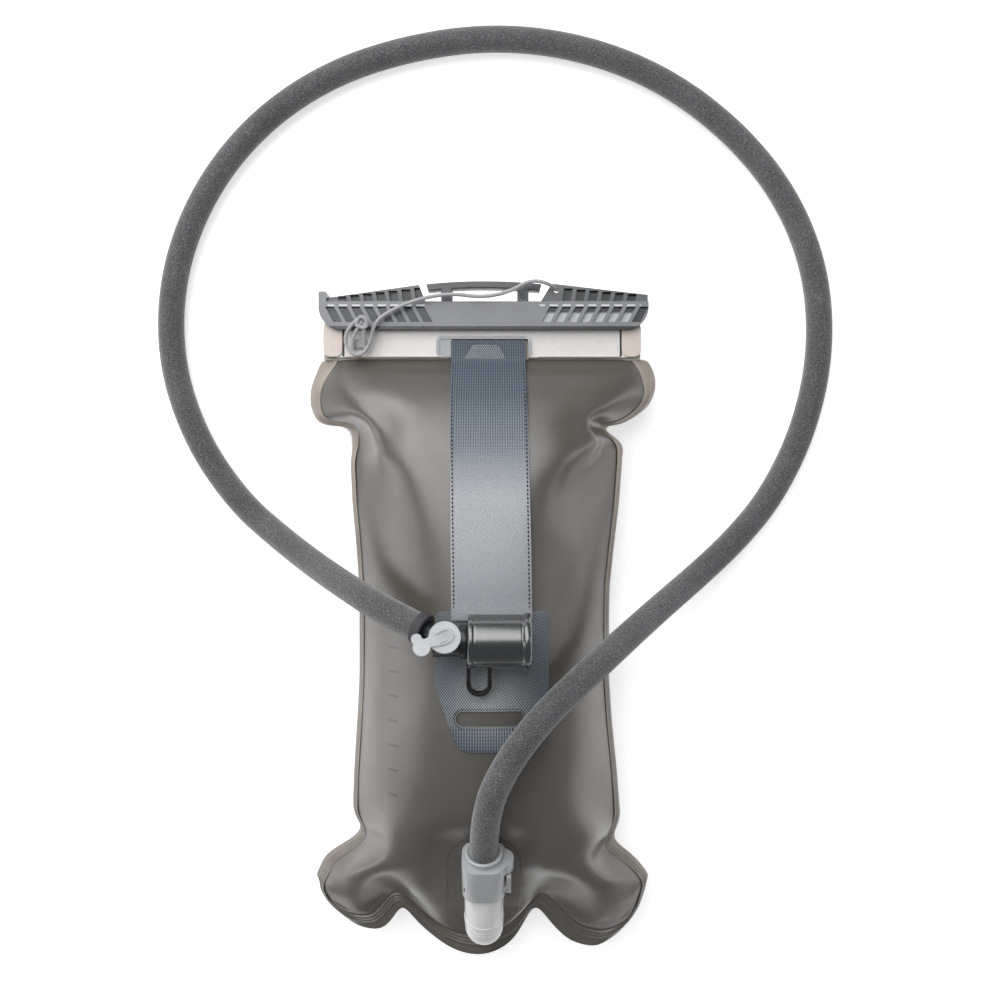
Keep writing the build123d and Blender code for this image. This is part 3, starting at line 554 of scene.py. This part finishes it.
def inflate(verts, faces, pinned):
    """The welded sheets filled by cloth simulation to the reservoir's volume."""
    mesh = bpy.data.meshes.new("filled_film")
    mesh.from_pydata(verts.tolist(), [], faces)
    piece = new_object("filled_film", mesh)
    piece.vertex_groups.new(name="mouth").add([int(k) for k in pinned], 1.0, "REPLACE")
    cloth = modifier(piece, "CLOTH")
    s = cloth.settings
    s.quality, s.mass, s.air_damping = 8, 0.15, 4.0
    s.tension_stiffness, s.compression_stiffness, s.shear_stiffness = 80.0, 24.0, 40.0
    s.bending_stiffness = 4.0
    s.use_pressure, s.uniform_pressure_force = True, 12.0
    s.use_pressure_volume, s.target_volume = True, 0.0024
    s.vertex_group_mass = "mouth"
    s.effector_weights.gravity = 0.0
    cloth.point_cache.frame_start, cloth.point_cache.frame_end = 1, SIM_FRAMES
    scene = bpy.context.scene
    for f in range(1, SIM_FRAMES + 1):
        scene.frame_set(f)
    found, _ = final_mesh(piece)
    scene.frame_set(1)
    bpy.data.objects.remove(piece)
    return np.array([tuple(v) for v in found])


# half width of the welded line along the filled bladder, on its left and its right
SEAM_LEFT = [(141, 78.5), (137, 81), (129, 86.6), (121, 89.2), (113, 88), (107, 88.5), (104, 84), (100, 71),
             (97, 66), (88, 69.8), (64, 68.5), (40, 66.3), (15, 64.6), (-33, 64.6), (-58, 65.9), (-82, 67.4),
             (-107, 68.2), (-115, 62.5), (-120, 65), (-126, 75), (-131, 83), (-139, 83.5), (-147, 88.5),
             (-160, 87)]
SEAM_RIGHT = [(141, 80.5), (137, 86), (129, 88.6), (121, 89.2), (113, 86), (108, 79), (104, 71), (100, 71.5),
              (97, 74), (88, 74.2), (64, 72.2), (40, 69.4), (15, 66.7), (-33, 66.6), (-58, 68.2), (-82, 70.7),
              (-107, 72.6), (-115, 71.4), (-123, 66.5), (-128, 74.5), (-131, 79), (-139, 87), (-147, 88),
              (-160, 88)]
CROWN, BELLY = 0.0448, 0.0295            # the filled film's height over and under the seam
SAG = 0.0345                             # depth under the seam before the back lies flat
WAIST_LOW, WAIST_HIGH = -0.112, 0.098    # the welded edge hangs down between these lines


def settle(co):
    """Fits the filled film to the part: its width along it, its crown, and a flat back to lie on."""
    lines = np.arange(0.141, -0.150, -0.003)
    for side, table in ((-1, SEAM_LEFT), (1, SEAM_RIGHT)):
        ratio = []
        for y in lines:
            near = co[np.abs(co[:, 1] - y) < 0.004]
            ratio.append(along(table, y * 1000) * MM / max((near[:, 0] * side).max(), 0.03))
        ratio = np.convolve(np.pad(ratio, 1, "edge"), np.ones(3) / 3, "valid")
        share = np.interp(-co[:, 1], -lines, ratio)
        co[:, 0] = np.where(co[:, 0] * side > 0, co[:, 0] * share, co[:, 0])
    rise = co[:, 2] - SEAM_Z
    top, low = rise.max(), -rise.min()
    rise = np.where(rise > 0, rise * CROWN / top, rise * SAG / low)
    flat = -BELLY + 0.004 * np.tanh((rise + BELLY) / 0.012)
    rise = np.where(rise < -BELLY + 0.004, np.maximum(rise, flat), rise)
    co[:, 2] = SEAM_Z + np.maximum(rise, -0.0298)
    return co


def port_plane(y):
    """Height of the flat place that the outlet is welded to."""
    foot = PORT_PLACE.translation
    return foot.z + (y - foot.y) * math.tan(PORT_TILT)


def flatten_at_port(co, front):
    """Draws the front film to the outlet's flat flange."""
    for k in front:
        x, y, z = co[k]
        off = max(abs(x - PORT_X) - 0.015, 0.0) / 0.020
        over = max(abs(y + 0.1367) - 0.026, 0.0) / 0.016
        weight = max(0.0, 1 - math.hypot(off, over))
        weight = weight * weight * (3 - 2 * weight)
        co[k][2] = z + (port_plane(y) - z) * weight
    return co


def relax(co, faces, keep, rounds):
    """Smooths vertices towards their neighbours, by how little keep holds each."""
    links = set()
    for f in faces:
        for a, b in zip(f, f[1:] + f[:1]):
            links.add((min(a, b), max(a, b)))
    links = np.array(sorted(links))
    count = np.bincount(links.ravel(), minlength=len(co))[:, None]
    for _ in range(rounds):
        total = np.zeros_like(co)
        np.add.at(total, links[:, 0], co[links[:, 1]])
        np.add.at(total, links[:, 1], co[links[:, 0]])
        co = co + (total / count - co) * (0.5 * (1 - keep))[:, None]
    return co


def film(material, weld):
    verts, faces, (front, back) = film_pattern()
    co = inflate(verts, faces, front[0])
    co = settle(co)
    rows, columns = front.shape
    hold = np.full(len(co), 1.0)
    for j in range(rows):
        for i in range(columns):
            u = abs(2 * i / (columns - 1) - 1)
            y = verts[front[j, i]][1]
            calm = np.clip((0.085 - y) / 0.03, 0, 1) * np.clip((y + 0.13) / 0.03, 0, 1)
            calm = max(calm, 0.35 * np.clip((0.134 - y) / 0.01, 0, 1) * np.clip((0.8 - u) / 0.2, 0, 1))
            hold[front[j, i]] = 1 - calm * np.clip((0.97 - u) / 0.1, 0, 1)
            hold[back[j, i]] = hold[front[j, i]]
    co = relax(co, faces, hold, 14)
    co = flatten_at_port(co, [int(k) for k in front[1:-1, 1:-1].ravel()])
    piece = mesh_object("bladder_film", co, faces, "bladder", material, "film")
    seam = {int(k) for k in (*front[0], *front[-1], *front[:, 0], *front[:, -1])}
    crease = piece.data.attributes.new("crease_edge", "FLOAT", "EDGE")
    for edge, value in zip(piece.data.edges, crease.data):
        value.value = 1.0 if edge.vertices[0] in seam and edge.vertices[1] in seam else 0.0
    modifier(piece, "SUBSURF", levels=2, render_levels=2)
    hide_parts("front_panel", "back_panel")
    flange(co, front, back, weld)
    return piece


def flange(co, front, back, material):
    """The welded edge outside the seam, with the ridges that the weld leaves."""
    rows, columns = front.shape
    loop = [(j, 0) for j in range(rows)] + [(rows - 1, i) for i in range(1, columns)]
    loop += [(j, columns - 1) for j in range(rows - 2, -1, -1)]
    seam, out = [], []
    for j, i in loop:
        inner_j = min(j, rows - 2)
        inner_i = min(max(i, 1), columns - 2)
        here = Vector(co[front[j, i]])
        inside = (Vector(co[front[inner_j, inner_i]]) + Vector(co[back[inner_j, inner_i]])) / 2
        seam.append(here)
        out.append((here - inside).normalized())
    lines = []
    offsets = [-0.0016, 0.0, 0.0009, 0.0017, 0.0025, 0.0033, 0.0041, 0.0049, 0.0058, 0.0094]
    ridges = [0.0, 0.0, 0.0010, 0.0, 0.0009, 0.0, 0.0009, 0.0, 0.0, 0.0]
    for here, way in zip(seam, out):
        if here.y >= WAIST_HIGH:
            side = max(0.0, 1 - (here.y - WAIST_HIGH) / 0.010, min(1.0, (-way.y - 0.15) / 0.4))
        elif here.y <= WAIST_LOW:
            side = max(0.0, 1 - (WAIST_LOW - here.y) / 0.014, min(1.0, (way.y - 0.15) / 0.4))
        else:
            side = 1.0
        down = Vector((0.35 * math.copysign(1, here.x), 0, -1)).normalized()
        flat = Vector((way.x, way.y, way.z * 0.35)).normalized()
        lines.append((here, flat.lerp(down, side).normalized()))
    smooth = []
    for k in range(len(lines)):
        near = [lines[min(max(k + d, 0), len(lines) - 1)][1] for d in (-2, -1, 0, 1, 2)]
        smooth.append(sum(near, Vector()).normalized())
    verts = []
    for offset, ridge in zip(offsets, ridges):
        for k, (here, _) in enumerate(lines):
            way = smooth[k]
            tangent = (lines[min(k + 1, len(lines) - 1)][0] - lines[max(k - 1, 0)][0]).normalized()
            normal = way.cross(tangent).normalized()
            if normal.z < 0:
                normal = -normal
            verts.append(here + way * offset + normal * ridge)
    faces = grid_faces(len(offsets), len(lines))
    piece = mesh_object("weld_flange", verts, faces, "bladder", material, "film")
    modifier(piece, "SOLIDIFY", thickness=0.0007, offset=0.0)
    modifier(piece, "SUBSURF", levels=1, render_levels=2)


# ---- sheets that lie on the film ----
SHEET_STEP = 0.003


def surface_of(piece):
    verts, faces = final_mesh(piece)
    return BVHTree.FromPolygons(verts, faces)


def height_on(surface, x, y):
    hit = surface.ray_cast(Vector((x, y, 0.2)), Vector((0, 0, -1)))[0]
    return hit.z if hit else SEAM_Z


def rounded(points, radius, steps=5):
    """A closed outline with its corners rounded; points are pairs."""
    found, count = [], len(points)
    for k in range(count):
        before, here, after = (Vector(points[(k + d) % count]) for d in (-1, 0, 1))
        one, other = before - here, after - here
        half = one.angle(other) / 2
        cut = min(radius / math.tan(half), 0.45 * min(one.length, other.length))
        start, end = here + one.normalized() * cut, here + other.normalized() * cut
        for s in range(steps + 1):
            t = s / steps
            found.append(start.lerp(here, t).lerp(here.lerp(end, t), t))
    return found


def rectangle(x, y):
    return [(x[0], y[0]), (x[1], y[0]), (x[1], y[1]), (x[0], y[1])]


def cut_sheet(outlines):
    """A flat sheet with this outline, and holes with the others, cut into small faces."""
    curve = bpy.data.curves.new("outline", "CURVE")
    curve.dimensions, curve.fill_mode = "2D", "BOTH"
    for outline in outlines:
        spline = curve.splines.new("POLY")
        spline.points.add(len(outline) - 1)
        spline.use_cyclic_u = True
        for point, place in zip(spline.points, outline):
            point.co = (place[0], place[1], 0.0, 1.0)
    holder = bpy.data.objects.new("outline", curve)
    mesh = bpy.data.meshes.new_from_object(holder)
    shape = bmesh.new()
    shape.from_mesh(mesh)
    bmesh.ops.remove_doubles(shape, verts=shape.verts[:], dist=1e-6)
    bmesh.ops.dissolve_limit(shape, angle_limit=0.01, verts=shape.verts[:], edges=shape.edges[:])
    for axis in (0, 1):
        places = [v.co[axis] for v in shape.verts]
        normal = Vector((axis == 0, axis == 1, 0))
        for value in np.arange(min(places) + SHEET_STEP * 0.5, max(places), SHEET_STEP):
            geometry = shape.verts[:] + shape.edges[:] + shape.faces[:]
            bmesh.ops.bisect_plane(shape, geom=geometry, plane_co=normal * value, plane_no=normal)
    for face in shape.faces:
        face.normal_update()
        if face.normal.z < 0:
            face.normal_flip()
    shape.verts.index_update()
    verts = [tuple(v.co) for v in shape.verts]
    faces = [tuple(v.index for v in f.verts) for f in shape.faces]
    shape.free()
    bpy.data.objects.remove(holder)
    bpy.data.meshes.remove(mesh)
    bpy.data.curves.remove(curve)
    return verts, faces


def laid_sheet(name, outlines, lift, thickness, material, slot):
    """A sheet laid over what lift(x, y) gives the height of."""
    verts, faces = cut_sheet(outlines)
    piece = mesh_object(name, [(x, y, lift(x, y)) for x, y, _ in verts], faces, "bladder", material, slot)
    modifier(piece, "SOLIDIFY", thickness=thickness, offset=1.0)
    modifier(piece, "BEVEL", width=min(0.00025, thickness * 0.35), segments=2, limit_method="ANGLE",
             angle_limit=math.radians(50))
    return piece


def stitches(name, places, material, length=0.0011, width=0.00042):
    """Short raised stitches; each place is a point on the cloth and a direction."""
    rings = [(-0.5, 0.35), (-0.34, 0.9), (0.0, 1.0), (0.34, 0.9), (0.5, 0.35)]
    parts = []
    for here, way in places:
        way = way.normalized()
        arch = [Vector((0, 0, width * 0.5 * (1 - (2 * t) ** 2))) for t, _ in rings]
        points = [here + way * (length * t) + rise for (t, _), rise in zip(rings, arch)]
        sizes = [width * 0.5 * r for _, r in rings]
        parts.append(tube_mesh(points, lambda t: np.interp(t * 4, range(5), sizes), 6))
    return mesh_object(name, *join_parts(parts), "bladder", material, "webbing")


STRAP_X, STRAP_HALF = 0.0043, 0.020
STRAP_LOW, STRAP_HIGH = 0.004, 0.1502
STRAP_LEAN = -0.0152                # sideways shift over its length
STRAP_T, PATCH_T = 0.0013, 0.0011
TONGUE_Z = 0.0331
PATCH_X = 0.0055
PATCH_OUTLINE = [
    (-28, 8), (28, 8), (28.5, -30), (22, -48), (16.5, -60.5), (12, -62), (-12, -62), (-16.5, -60.5),
    (-22, -48), (-28.5, -30),
]                                   # in millimetres, from the patch's middle line
SLOT = (0.0045, -0.0453, 0.034, 0.0076)


def strap_height(surface):
    def lift(x, y):
        film_z = height_on(surface, x, y) + 0.0005
        if y < 0.010:
            film_z += 0.0010
        if y > 0.128:
            film_z = max(film_z, TONGUE_Z - 0.6 * max(0.0, 0.139 - y))
        return film_z
    return lift


def leaning(x, y):
    """Where a point of the strap is across the bladder, as the strap leans over its length."""
    return x + STRAP_LEAN * (y - 0.0775)


def strap(surface, webbing, dark_thread, light_thread):
    lift = strap_height(surface)
    cut = rectangle((STRAP_X - STRAP_HALF, STRAP_X + STRAP_HALF), (STRAP_LOW, STRAP_HIGH))
    outline = [(leaning(x, y), y) for x, y in rounded(cut, 0.0008)]
    piece = laid_sheet("carrying_strap", [outline], lift, STRAP_T, webbing, "webbing")
    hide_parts("handle_strap")
    edge, pitch = STRAP_HALF - 0.0010, 0.0021
    places = []
    for side in (-1, 1):
        for y in np.arange(0.0105, 0.1385, pitch):
            at, ahead = leaning(STRAP_X + side * edge, y), leaning(STRAP_X + side * edge, y + pitch)
            here = Vector((at, y, lift(at, y) + STRAP_T))
            places.append((here, Vector((ahead, y + pitch, lift(ahead, y + pitch) + STRAP_T)) - here))
    stitches("strap_edge_stitches", places, dark_thread, 0.0012, 0.00075)
    bartack = []
    for row in range(7):
        y = 0.1415 + row * 0.00092
        inset = 0.0006 * row
        for x_at in np.arange(-0.0082 + inset, 0.0121 - inset, 0.0011):
            slant = 0.0006 if row % 2 else -0.0006
            bartack.append((Vector((x_at, y, lift(x_at, y) + STRAP_T)), Vector((slant, 0.0008, 0))))
    for x_at in np.arange(-0.0090, 0.0128, 0.00115):
        bartack.append((Vector((x_at, 0.1405, lift(x_at, 0.1405) + STRAP_T)), Vector((1, 0, 0))))
    stitches("strap_bartack", bartack, light_thread, 0.0011, 0.0005)
    return piece


def slot_outline(centre_x, centre_y, width, height, steps=10):
    radius = height / 2
    reach = width / 2 - radius
    points = []
    for side, start in ((1, -90), (-1, 90)):
        for s in range(steps + 1):
            angle = math.radians(start + 180 * s / steps)
            x = centre_x + side * reach + radius * math.cos(angle)
            points.append((x, centre_y + radius * math.sin(angle)))
    return points


def patch(surface, material, dark_thread):
    outline = rounded([(PATCH_X + x * MM, y * MM) for x, y in PATCH_OUTLINE], 0.003)

    def lift(x, y):
        return height_on(surface, x, y) + 0.0002

    outlines = [outline, slot_outline(*SLOT)]
    piece = laid_sheet("strap_patch_weave", outlines, lift, PATCH_T, material, "webbing_patch")
    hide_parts("strap_patch")
    rim = slot_outline(SLOT[0], SLOT[1], SLOT[2] + 0.0022, SLOT[3] + 0.0022, 14)
    places = []
    for k, (x, y) in enumerate(rim):
        after = rim[(k + 1) % len(rim)]
        gap = Vector((after[0] - x, after[1] - y, 0))
        count = max(1, round(gap.length / 0.0016))
        for n in range(count):
            at = Vector((x, y, 0)) + gap * (n / count)
            places.append((Vector((at.x, at.y, lift(at.x, at.y) + PATCH_T)), gap))
    stitches("slot_stitches", places, dark_thread, 0.0010, 0.0004)
    return piece


def outlet_patch(surface, material):
    """The arched reinforcement welded on the film round the outlet."""
    half, low, top = 0.0193, -0.158, -0.1265
    points = [(PORT_X - half, low), (PORT_X + half, low)]
    points += [(PORT_X + half * math.cos(a), top + half * math.sin(a)) for a in np.linspace(0, math.pi, 25)]

    def lift(x, y):
        fused = min(max((-0.147 - y) / 0.007, 0.0), 1.0)
        return height_on(surface, x, y) - 0.0002 - 0.0006 * fused

    piece = laid_sheet("outlet_patch", [points], lift, 0.0006, material, "film")
    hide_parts("port_patch")


# ---- fold ----
def prism(outline, low, high):
    """Vertices and faces of an upright prism over a closed outline."""
    count = len(outline)
    verts = [(x, y, low) for x, y in outline] + [(x, y, high) for x, y in outline]
    faces = [tuple(range(count))[::-1], tuple(range(count, 2 * count))]
    faces += [(k, (k + 1) % count, (k + 1) % count + count, k + count) for k in range(count)]
    return verts, faces


def bevelled(piece, width, angle=35.0):
    modifier(piece, "BEVEL", width=width, segments=2, limit_method="ANGLE",
             angle_limit=math.radians(angle), harden_normals=False)


def plate(name, outline, low, high, material, slot, bevel):
    """A flat plate on the folded mouth."""
    verts, faces = prism(outline, low, high)
    bevelled(mesh_object(name, verts, faces, "bladder", material, slot, smooth=False), bevel)


def fold_details(band, end, weld, gap):
    """What shows of the folded mouth: film under the band, its corner pieces, black plates painted as the
    shade in their gaps, and its edge.
    """
    outline = rounded(rectangle((-0.0855, 0.0855), (0.1395, 0.1605)), 0.001)
    plate("mouth_film", outline, 0.0293, 0.0308, weld, "film", 0.0003)
    for name, low, high in (("corner_left", -0.0856, -0.0752), ("corner_right", 0.0752, 0.0856)):
        outline = rounded(rectangle((low, high), (0.1412, 0.1602)), 0.0042, 8)
        plate(name, outline, 0.0322, 0.0336, end, "band", 0.0004)
    # painted shade: thin black plates stand for the shade in the gaps beside the corner pieces
    for name, low, high in (("corner_gap_left", -0.0753, -0.0742), ("corner_gap_right", 0.0742, 0.0753)):
        plate(name, rectangle((low, high), (0.1414, 0.1600)), 0.0318, 0.0330, gap, "film", 0.0002)
    for name, low, high in (("band_edge_left", -0.0740, -0.0215), ("band_edge_right", 0.0300, 0.0740)):
        outline = rounded(rectangle((low, high), (0.1411, 0.1424)), 0.0005)
        plate(name, outline, 0.0320, 0.0334, band, "band", 0.0004)


# ---- CAD nodes that stay ----
def dress(node, material, bevel):
    """A CAD node's finish: its material, and fine rounded edges where bevel isn't 0."""
    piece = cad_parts[node]
    if piece.data.materials:
        piece.data.materials[0] = material
    else:
        piece.data.materials.append(material)
    if bevel:
        modifier(piece, "WELD", merge_threshold=1e-5)
        bevelled(piece, bevel, 32.0)


# ---- tether ----
TETHER_ROUTE = [
    (40, 177, 34.5), (37, 178.8, 42), (26, 181, 43.5), (15, 174.6, 42.5), (0, 171.6, 42), (-16, 173.8, 42.5),
    (-32, 171.4, 42), (-47, 165.6, 42), (-57.5, 158.5, 41.5), (-59.5, 147, 38.5), (-66, 140, 38.2),
    (-73.5, 146.5, 38.4), (-71.5, 156.5, 40.5), (-64, 161, 43.5),
]
KNOT_ROUTES = [
    [(-63.1, 159.4, 43), (-67.4, 153.5, 41.5), (-69.5, 147.1, 38.2), (-68.5, 142.2, 36.6),
     (-64.7, 141.2, 36.4)],
    [(-62, 158.2, 43.6), (-63.4, 151.2, 40.8), (-62.4, 144.6, 37.4)],
    [(-66.4, 157, 42.4), (-65.4, 161.3, 44.4), (-61.6, 160.6, 45.2), (-60.2, 156.4, 43.9),
     (-63.6, 154.8, 43.1), (-66.6, 157.2, 42.7)],
]


def tether(material):
    points = spline_points([Vector(p) * MM for p in TETHER_ROUTE])
    piece = mesh_object("tether", *tube_mesh(points, TETHER_R, 12), None, material)
    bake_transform(piece)
    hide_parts("tether_cord")
    routes = [spline_points([Vector(p) * MM for p in route]) for route in KNOT_ROUTES]
    loops = [tube_mesh(route, TETHER_R * 0.95, 12) for route in routes]
    mesh_object("tether_knot", *join_parts(loops), "bladder", material, "cord")


# ---- valve, cover and outlet ----
def dust_cover(material):
    """Glossy cover: a round wall with a panel let into its front and a flared rim at its closed end."""
    outside, wall, low, high = 0.0131, 0.0016, 0.0110, 0.0417
    stations = [(low, outside - 0.0006), (low + 0.0005, outside), (low + 0.0010, outside)]
    stations += [(x, outside) for x in np.linspace(low + 0.0015, high - 0.0046, 64)]
    stations += [(high - 0.0040, outside + 0.0001), (high - 0.0034, outside + 0.0005),
                 (high - 0.0028, outside + 0.0007), (high - 0.0012, outside + 0.0007),
                 (high - 0.0006, outside + 0.0004), (high - 0.0002, outside - 0.0004),
                 (high, outside - 0.0016), (high, outside * 0.6), (high, 0.0004)]
    inner = outside - wall
    stations = [(high - wall, 0.0004), (high - wall, inner - 0.001), (high - wall - 0.001, inner),
                (low + 0.0004, inner), (low, inner + 0.0004)] + stations
    around, facing = 144, math.radians(97)
    panel_x, half_along, half_across, edge = 0.0255, 0.0095, 0.0128, 0.0022
    verts = []
    for x, radius in stations:
        for i in range(around):
            angle = 2 * math.pi * i / around
            shown = radius
            if radius > outside - 0.0001 and x < high - 0.0045:
                off = (angle - facing + math.pi) % (2 * math.pi) - math.pi
                across = abs(off) * outside - half_across
                along_it = abs(x - panel_x) - half_along
                away = math.hypot(max(across, 0.0), max(along_it, 0.0)) + min(max(across, along_it), 0.0)
                groove = math.exp(-((away - edge) / 0.00035) ** 2)
                step = 1 / (1 + math.exp(-(away - edge) / 0.00018))
                shown -= 0.0002 * (1 - step) + 0.00025 * groove
            verts.append((x, shown * math.cos(angle), shown * math.sin(angle)))
    faces = [f[::-1] for f in grid_faces(len(stations), around, closed=True)]
    faces.append(tuple(range(around)))
    faces.append(tuple(range(len(verts) - around, len(verts)))[::-1])
    piece = mesh_object("cover_shell", in_valve(verts), faces, "cover", material, "black_plastic")
    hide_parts("dust_cover")


def lever_ridge(material):
    """The U-shaped ridge on the lever's disc, open towards its arm."""
    turn = math.radians(201)
    route = [(0.012, 0.0016), (0.006, 0.0021), (0.0008, 0.0033), (-0.0036, 0.0022), (-0.0044, -0.0008),
             (-0.0024, -0.0036), (0.002, -0.0032), (0.0065, -0.0021), (0.012, -0.0017)]
    c, s = math.cos(turn), math.sin(turn)
    found = spline_points(in_valve([(x * c - y * s, x * s + y * c, 0.0112) for x, y in route]))
    mesh_object("lever_ridge", *tube_mesh(found, 0.00065, 10), "lever", material, "clear")


def outlet_ring(name, place, radius, size, material, slot):
    """A raised ring round the outlet's axis."""
    around, sides = 48, 10
    verts = []
    for i in range(around):
        angle = 2 * math.pi * i / around
        for k in range(sides):
            turn = 2 * math.pi * k / sides
            reach = radius + size * math.cos(turn)
            verts.append((reach * math.cos(angle), place + size * math.sin(turn), reach * math.sin(angle)))
    faces = grid_faces(around, sides, closed=True)
    last = (around - 1) * sides
    faces += [(last + k, last + (k + 1) % sides, (k + 1) % sides, k) for k in range(sides)]
    mesh_object(name, in_outlet(verts), faces, "bladder", material, slot)


camera()
studio()
floor()

knit = knit_material()
film_grey = film_material("film_grey", (0.094, 0.086, 0.075), (0.078, 0.070, 0.060), 0.38, True)
film_weld = weld_material()
band_film = band_material("band_pale", (0.64, 0.61, 0.59), (0.76, 0.735, 0.72))
band_end = band_material("band_end_pink", (0.56, 0.49, 0.43), (0.68, 0.60, 0.54))
# painted sheen over navy webbing: painted light grey around its middle and dark navy towards its top
webbing = webbing_material(
    "webbing_navy_painted_sheen",
    [(0.0, (0.17, 0.18, 0.20), (0.36, 0.37, 0.39)), (0.04, (0.30, 0.31, 0.33), (0.50, 0.51, 0.53)),
     (0.066, (0.33, 0.34, 0.36), (0.52, 0.53, 0.55)), (0.092, (0.10, 0.12, 0.15), (0.25, 0.28, 0.31)),
     (0.118, (0.040, 0.056, 0.078), (0.125, 0.155, 0.185)),
     (0.152, (0.036, 0.050, 0.070), (0.115, 0.145, 0.175))],
    0.00125, (0.075, 0.105), 0.62,
)
# painted sheen: the patch's picks painted darker at its bottom, and the patch painted lighter round a point
# above the slot
speckled = webbing_material(
    "webbing_speckled",
    [(-0.063, (0.030, 0.045, 0.063), (0.13, 0.165, 0.20)),
     (-0.05, (0.026, 0.040, 0.058), (0.12, 0.15, 0.185)),
     (-0.0495, (0.030, 0.042, 0.056), (0.20, 0.22, 0.235)),
     (0.01, (0.028, 0.040, 0.054), (0.23, 0.25, 0.265))],
    0.00135, (-0.049, -0.0495), 0.6, (0.0045, -0.037, 0.026),
)
dark_thread = plastic("thread_dark", (0.02, 0.024, 0.03), (0.012, 0.014, 0.018), 0.7)
light_thread = plastic("thread_light", (0.50, 0.53, 0.56), (0.36, 0.39, 0.42), 0.6)
clear = clear_plastic("clear_moulding", (0.84, 0.86, 0.88), 0.18, 0.62)
port_clear = clear_plastic("clear_port", (0.98, 0.98, 0.97), 0.16, 0.35)
grey = plastic("connector_grey", (0.41, 0.415, 0.425), (0.35, 0.355, 0.365), 0.34, Specular_IOR_Level=0.8)
black = plastic("cover_black", (0.010, 0.011, 0.013), (0.006, 0.007, 0.008), 0.27, 900.0, 0.0000008,
                Specular_IOR_Level=0.7, Coat_Weight=1.0, Coat_Roughness=0.22, Coat_IOR=1.8)
black_satin = plastic("valve_black", (0.014, 0.015, 0.017), (0.009, 0.010, 0.011), 0.30)
rubber = plastic("loop_rubber", (0.016, 0.015, 0.014), (0.010, 0.010, 0.009), 0.42)
steel = plastic("steel_bright", (0.55, 0.55, 0.56), (0.42, 0.42, 0.43), 0.28, Metallic=1.0)
bar_grey = plastic("bar_grey", (0.085, 0.087, 0.092), (0.065, 0.067, 0.070), 0.32)
ferrule_grey = plastic("ferrule_grey", (0.060, 0.060, 0.062), (0.034, 0.034, 0.036), 0.7, 1400.0, 0.0001)
seal = plastic("seal_black", (0.02, 0.02, 0.02), (0.012, 0.012, 0.012), 0.5)
silicone = plastic("mouthpiece_silicone", (0.30, 0.36, 0.40), (0.24, 0.29, 0.33), 0.5)
cord_grey = cord_material()

sleeve, hose_start = hose(knit)
skin = film(film_grey, film_weld)
surface = surface_of(skin)
webbing_strap = strap(surface, webbing, dark_thread, light_thread)
webbing_patch = patch(surface, speckled, dark_thread)
outlet_patch(surface, film_grey)
# the seal's black is also the painted shade in the corner gaps
fold_details(band_film, band_end, film_weld, seal)
tether(cord_grey)
dust_cover(black)
lever_ridge(clear)
outlet_ring("port_ring_upper", -0.0010, 0.0097, 0.0007, port_clear, "clear")
outlet_ring("port_ring_lower", -0.0042, 0.0096, 0.0006, port_clear, "clear")
outlet_ring("collar_lip", 0.0428, 0.0086, 0.0010, grey, "grey_plastic")
FINISHES = [
    ("fold_band", band_film, 0.0004), ("fold_rod", band_film, 0.0003),
    ("strap_window_rim", clear, 0.0003), ("tether_anchor", clear, 0.0003),
    ("slide_closure", slider_material(), 0.00035), ("hang_bar", bar_grey, 0.0005),
    ("hang_bar_pins", bar_grey, 0.0), ("port_body", port_clear, 0.0004), ("port_poppet", grey, 0.0),
    ("port_spring", steel, 0.0), ("port_o_ring", seal, 0.0), ("connector_body", grey, 0.0007),
    ("release_button", grey, 0.0004), ("release_spring", steel, 0.0), ("tube_plug", grey, 0.0),
    ("sleeve_ferrule", ferrule_grey, 0.0006), ("valve_body", black_satin, 0.0004),
    ("shutoff_lever", clear, 0.0005), ("valve_o_rings", seal, 0.0), ("bite_valve", silicone, 0.0),
    ("cover_pull_loop", rubber, 0.0007),
]
for node, material, bevel in FINISHES:
    dress(node, material, bevel)

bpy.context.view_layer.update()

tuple(hose_start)
